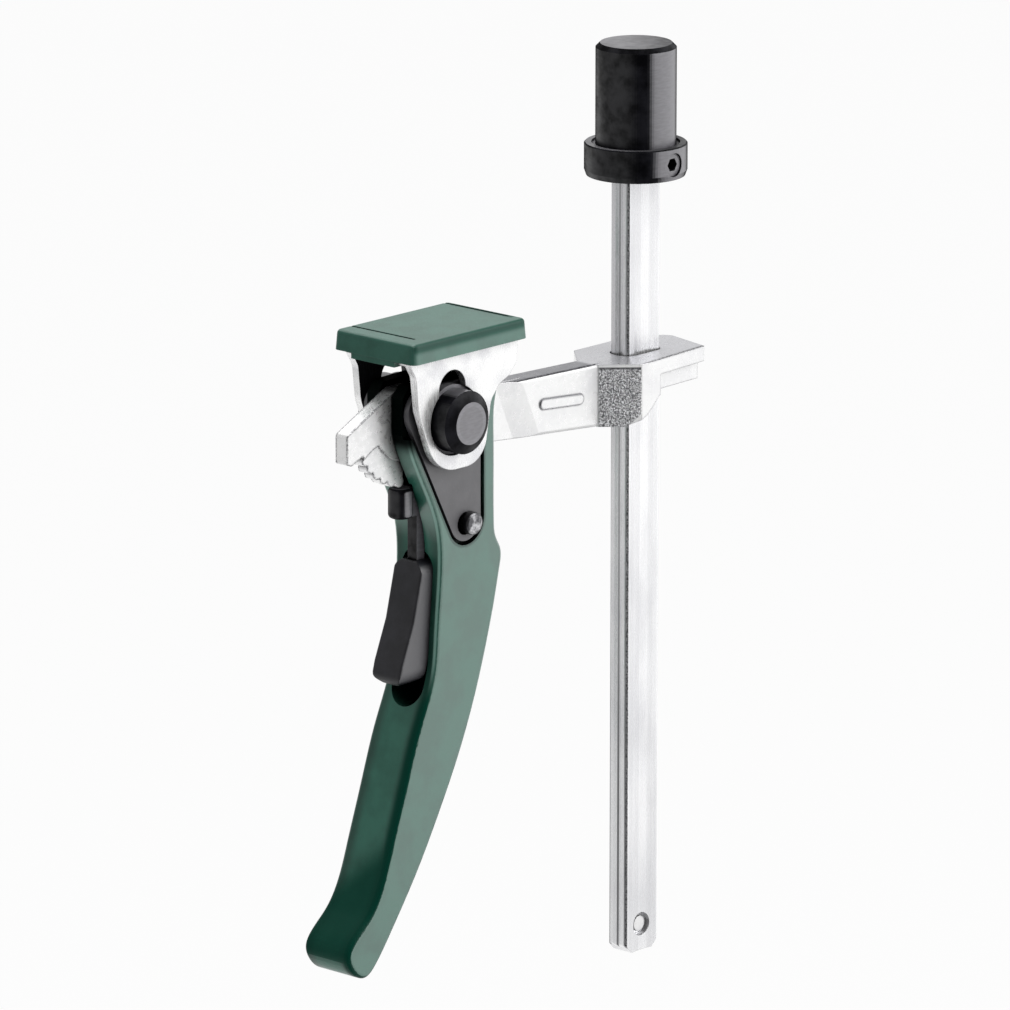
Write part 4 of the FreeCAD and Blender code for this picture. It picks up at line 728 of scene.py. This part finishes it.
def platedSheet():
    look = sheetLook
    shade = Shade("platedSheet")
    roll = shade.noise(*look["roll"])
    cloud = shade.noise(*look["cloud"])
    colour = shade.mix(shade.ramp(cloud, *look["cloudRange"]), look["bright"], look["grey"])
    # painted shade in corners and in the hollows between parts
    colour = shade.times(colour, shade.crevice(*look["crevice"]))
    colour = shade.times(colour, shade.hollow(*look["hollow"]))
    # painted shade: the inner faces see only the dark between the cheeks
    inner = shade.product(shade.fall(shade.absolute(shade.y), *look["innerHalf"]),
                          shade.fall(shade.z, *look["innerTop"]),
                          shade.facing(1, *look["innerAngle"], 0))
    # painted shade on faces that look along -Y
    near = shade.between(shade.facing(1, *look["nearAngle"], -1.0), 1.0, look["nearSide"])
    colour = shade.mix(inner, shade.times(colour, near), look["inner"])
    normal = shade.bump(roll, look["rollDepth"], shade.soften(look["edgeRound"]))
    rough = shade.ramp(roll, *look["roughOver"], *look["rough"])
    return shade.close(colour, rough, normal,
                       metal=shade.between(inner, look["metal"], 0.0),
                       specular=shade.between(inner, *look["specular"]))


plateLook = {
    "deep": (0.042, 0.041, 0.046),
    "light": (0.062, 0.060, 0.067),
    "speck": (0.45, 4.0, 0.65),
    "speckTone": (0.11, 0.108, 0.118),
    "speckShare": (0.5, 0.7, 0.0, 0.35),
    "speckDepth": 0.012,
    "cloud": (7.0, 3.0),
    "cloudRange": (0.35, 0.7),
    "crevice": (3.0, 0.4),
    "rough": (0.38, 0.52),
    "roughOver": (0.3, 0.7),
    "specular": 0.9,
    "edgeRound": 0.12,
}


def darkPlate():
    look = plateLook
    shade = Shade("darkPlate")
    speck = shade.noise(*look["speck"])
    cloud = shade.noise(*look["cloud"])
    colour = shade.mix(shade.ramp(cloud, *look["cloudRange"]), look["deep"], look["light"])
    colour = shade.mix(shade.ramp(speck, *look["speckShare"]), colour, look["speckTone"])
    # painted shade in corners
    colour = shade.times(colour, shade.crevice(*look["crevice"]))
    normal = shade.bump(speck, look["speckDepth"], shade.soften(look["edgeRound"]))
    rough = shade.ramp(speck, *look["roughOver"], *look["rough"])
    return shade.close(colour, rough, normal, specular=look["specular"])


plasticLook = {
    "deep": (0.008, 0.008, 0.011),
    "light": (0.016, 0.016, 0.021),
    # painted light on the sides
    "side": (0.055, 0.054, 0.060),
    "grain": 0.3,
    "grainDepth": 0.008,
    "cloud": (5.0, 3.0),
    "cloudRange": (0.35, 0.7),
    "sideAngle": (0.6, 0.9),
    "rough": (0.40, 0.50),
    "roughOver": (0.0, 0.6),
    "specular": (0.35, 0.9),                  # on the front, and on the sides
    "edgeRound": 0.7,
}


def blackPlastic():
    look = plasticLook
    shade = Shade("blackPlastic")
    grain = shade.cells(look["grain"])
    cloud = shade.noise(*look["cloud"])
    # painted light: the sides are lighter than the front
    side = shade.facing(1, *look["sideAngle"], 0)
    colour = shade.mix(shade.ramp(cloud, *look["cloudRange"]), look["deep"], look["light"])
    colour = shade.mix(side, colour, look["side"])
    normal = shade.bump(grain, look["grainDepth"], shade.soften(look["edgeRound"]))
    rough = shade.ramp(grain, *look["roughOver"], *look["rough"])
    return shade.close(colour, rough, normal, specular=shade.between(side, *look["specular"]))


pinLook = {
    "light": (0.42, 0.42, 0.43),
    "deep": (0.22, 0.22, 0.23),
    "turned": (0.5, 4.0, 0.6),
    "turnedRange": (0.42, 0.66),
    "turnedDepth": 0.05,
    "smear": (2.6, 3.0, 0.5),
    "smearTone": (0.05, 0.05, 0.055),
    "smearShare": (0.42, 0.58, 0.0, 0.9),
    "barrel": (0.03, 0.03, 0.033),
    "barrelShare": 0.9,
    "endAngle": (0.3, 0.7),
    "rough": (0.28, 0.42),
    "roughOver": (0.3, 0.7),
    "edgeRound": 0.2,
}


def pinSteel():
    look = pinLook
    shade = Shade("pinSteel")
    turned = shade.noise(*look["turned"])
    smear = shade.noise(*look["smear"])
    colour = shade.mix(shade.ramp(turned, *look["turnedRange"]), look["light"], look["deep"])
    colour = shade.mix(shade.ramp(smear, *look["smearShare"]), colour, look["smearTone"])
    # barrels are darker than the ends that look along Y
    barrel = shade.between(shade.facing(1, *look["endAngle"], 0), look["barrelShare"], 0.0)
    colour = shade.mix(barrel, colour, look["barrel"])
    normal = shade.bump(turned, look["turnedDepth"], shade.soften(look["edgeRound"]))
    rough = shade.ramp(turned, *look["roughOver"], *look["rough"])
    return shade.close(colour, rough, normal, metal=1.0)


bronzeLook = {
    "light": (0.42, 0.27, 0.13),
    "deep": (0.25, 0.16, 0.08),
    "pores": (0.3, 3.0, 0.6),
    "poreRange": (0.45, 0.7),
    "poreDepth": 0.01,
    "rough": 0.42,
}


def bronzeBush():
    look = bronzeLook
    shade = Shade("bronzeBush")
    pores = shade.noise(*look["pores"])
    colour = shade.mix(shade.ramp(pores, *look["poreRange"]), look["light"], look["deep"])
    return shade.close(colour, look["rough"], shade.bump(pores, look["poreDepth"]), metal=1.0)


finishes = {
    "green": greenPaint(),
    "cap": greenPlastic(),
    "black": blackSteel(),
    "bar": drawnBar(),
    "forging": platedForging(),
    "sheet": platedSheet(),
    "plate": darkPlate(),
    "plastic": blackPlastic(),
    "pin": pinSteel(),
    "bronze": bronzeBush(),
}

nodeFinish = {
    "clamp_bar": "bar",
    "bench_peg": "black",
    "grub_screw": "black",
    "stop_pin": "forging",
    "sliding_arm": "forging",
    "fulcrum_bush": "bronze",
    "lever_handle": "green",
    "side_plate_near": "plate",
    "side_plate_far": "plate",
    "fulcrum_pin": "pin",
    "fulcrum_washers": "pin",
    "plate_rivet": "pin",
    "pawl_guide_pin": "pin",
    "trigger_pin": "pin",
    "bracket_stud_near": "black",
    "bracket_stud_far": "black",
    "pressure_bracket": "sheet",
    "pad_cap": "cap",
    "pawl_plunger": "black",
    "pawl_link_pin": "pin",
    "pawl_spring": "pin",
    "trigger": "plastic",
}


def dressNodes():
    for node, finish in nodeFinish.items():
        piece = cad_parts[node]
        if not piece.material_slots:
            piece.data.materials.append(finishes[finish])
        for place in piece.material_slots:
            place.material = finishes[finish]


dressNodes()
print("finishes on", len(nodeFinish), "nodes")


# floor, world and lamps, in metres

studio = {
    "floorDrop": -0.62,
    "floorHalf": 9.0,
    "floorColour": (0.86, 0.86, 0.86),
    "floorRough": 0.9,
    "floorGlow": 0.94,                        # share of white the lens sees; the rest is lit
    "world": 0.5,
    "keyPlace": (0.55, -1.15, 0.55),
    "keySize": 1.1,
    "keyPower": 13.0,
    "topPlace": (0.1, 0.25, 1.2),
    "topSize": 1.0,
    "topPower": 8.0,
    "aim": (-0.05, 0, -0.09),                 # what both lamps look at
    "ringRadius": 1.35,
    "ringSteps": 12,
    "ringZero": 222.5,                        # degrees; further turns go to the viewer's right
}

# cards round the clamp, seen only in its gloss: turn from, turn to, low, high, brightness
cards = {
    "frontCard": (-18.0, 43.0, -0.9, 1.3, 0.004),
    "leftLowCard": (-112.0, -18.0, -0.9, 0.0, 0.62),
    "leftHighCard": (-112.0, -18.0, 0.0, 1.5, 0.7),
    "rightCard": (43.0, 135.0, -0.9, 1.2, 1.6),
    "rearCard": (140.0, 225.0, -0.1, 1.0, 0.85),
}


def larger(tree, first, second):
    node = tree.nodes.new("ShaderNodeMath")
    node.operation = "MAXIMUM"
    tree.links.new(first, node.inputs[0])
    tree.links.new(second, node.inputs[1])
    return node.outputs[0]


def whiteFactor(tree):
    # one for lens, gloss and glass, which see the background as white
    path = tree.nodes.new("ShaderNodeLightPath").outputs
    either = larger(tree, path["Is Camera Ray"], path["Is Glossy Ray"])
    return larger(tree, either, path["Is Transmission Ray"])


def mixed(tree, factor, first, second):
    node = tree.nodes.new("ShaderNodeMixShader")
    tree.links.new(factor, node.inputs[0])
    tree.links.new(first.outputs[0], node.inputs[1])
    tree.links.new(second.outputs[0], node.inputs[2])
    return node.outputs[0]


def whiteSky(tree, strength):
    sky = tree.nodes.new("ShaderNodeBackground")
    sky.inputs["Color"].default_value = (1.0, 1.0, 1.0, 1.0)
    sky.inputs["Strength"].default_value = strength
    return sky


def makeWorld():
    world = bpy.data.worlds.new("studioWorld")
    scene.world = world
    world.use_nodes = True
    tree = world.node_tree
    tree.nodes.clear()
    out = tree.nodes.new("ShaderNodeOutputWorld")
    soft = whiteSky(tree, studio["world"])
    white = whiteSky(tree, 1.0)
    tree.links.new(mixed(tree, whiteFactor(tree), soft, white), out.inputs[0])


def linkMesh(name, corners, faces):
    mesh = bpy.data.meshes.new(name)
    mesh.from_pydata(corners, [], faces)
    thing = bpy.data.objects.new(name, mesh)
    scene.collection.objects.link(thing)
    return thing


def makeFloor():
    half = studio["floorHalf"]
    corners = [(-half, -half, 0), (half, -half, 0), (half, half, 0), (-half, half, 0)]
    floor = linkMesh("studioFloor", corners, [(0, 1, 2, 3)])
    floor.location.z = studio["floorDrop"]
    material = bpy.data.materials.new("paleFloor")
    material.use_nodes = True
    tree = material.node_tree
    bsdf = tree.nodes["Principled BSDF"]
    bsdf.inputs["Base Color"].default_value = studio["floorColour"] + (1.0,)
    bsdf.inputs["Roughness"].default_value = studio["floorRough"]
    glow = tree.nodes.new("ShaderNodeEmission")
    glow.inputs["Strength"].default_value = 1.0
    share = tree.nodes.new("ShaderNodeMath")
    share.operation = "MULTIPLY"
    share.inputs[1].default_value = studio["floorGlow"]
    tree.links.new(whiteFactor(tree), share.inputs[0])
    surface = tree.nodes["Material Output"].inputs["Surface"]
    tree.links.new(mixed(tree, share.outputs[0], bsdf, glow), surface)
    floor.data.materials.append(material)


def makeCard(name, fromTurn, toTurn, low, high, glow):
    # part of an upright ring, with an even glow
    steps = studio["ringSteps"]
    corners = []
    for step in range(steps + 1):
        turn = math.radians(studio["ringZero"] + fromTurn + (toTurn - fromTurn) * step / steps)
        x = studio["ringRadius"] * math.cos(turn)
        y = studio["ringRadius"] * math.sin(turn)
        corners += [(x, y, low), (x, y, high)]
    faces = [(2 * i, 2 * i + 2, 2 * i + 3, 2 * i + 1) for i in range(steps)]
    card = linkMesh(name, corners, faces)
    material = bpy.data.materials.new(name + "Tone")
    material.use_nodes = True
    tree = material.node_tree
    tree.nodes.clear()
    out = tree.nodes.new("ShaderNodeOutputMaterial")
    tone = tree.nodes.new("ShaderNodeEmission")
    tone.inputs["Strength"].default_value = glow
    tree.links.new(tone.outputs[0], out.inputs["Surface"])
    card.data.materials.append(material)
    card.visible_camera = False
    card.visible_shadow = False
    card.visible_diffuse = False


def makeLamp(name, place, size, power):
    data = bpy.data.lights.new(name, "AREA")
    data.shape = "SQUARE"
    data.size = size
    data.energy = power
    lamp = bpy.data.objects.new(name, data)
    lamp.location = place
    back = Vector(place) - Vector(studio["aim"])
    lamp.rotation_euler = back.to_track_quat("Z", "Y").to_euler()
    scene.collection.objects.link(lamp)


makeWorld()
makeFloor()
for cardName, card in cards.items():
    makeCard(cardName, *card)
makeLamp("keyLamp", studio["keyPlace"], studio["keySize"], studio["keyPower"])
makeLamp("topLamp", studio["topPlace"], studio["topSize"], studio["topPower"])
print("studio ready")

scene.view_settings.view_transform = "Standard"
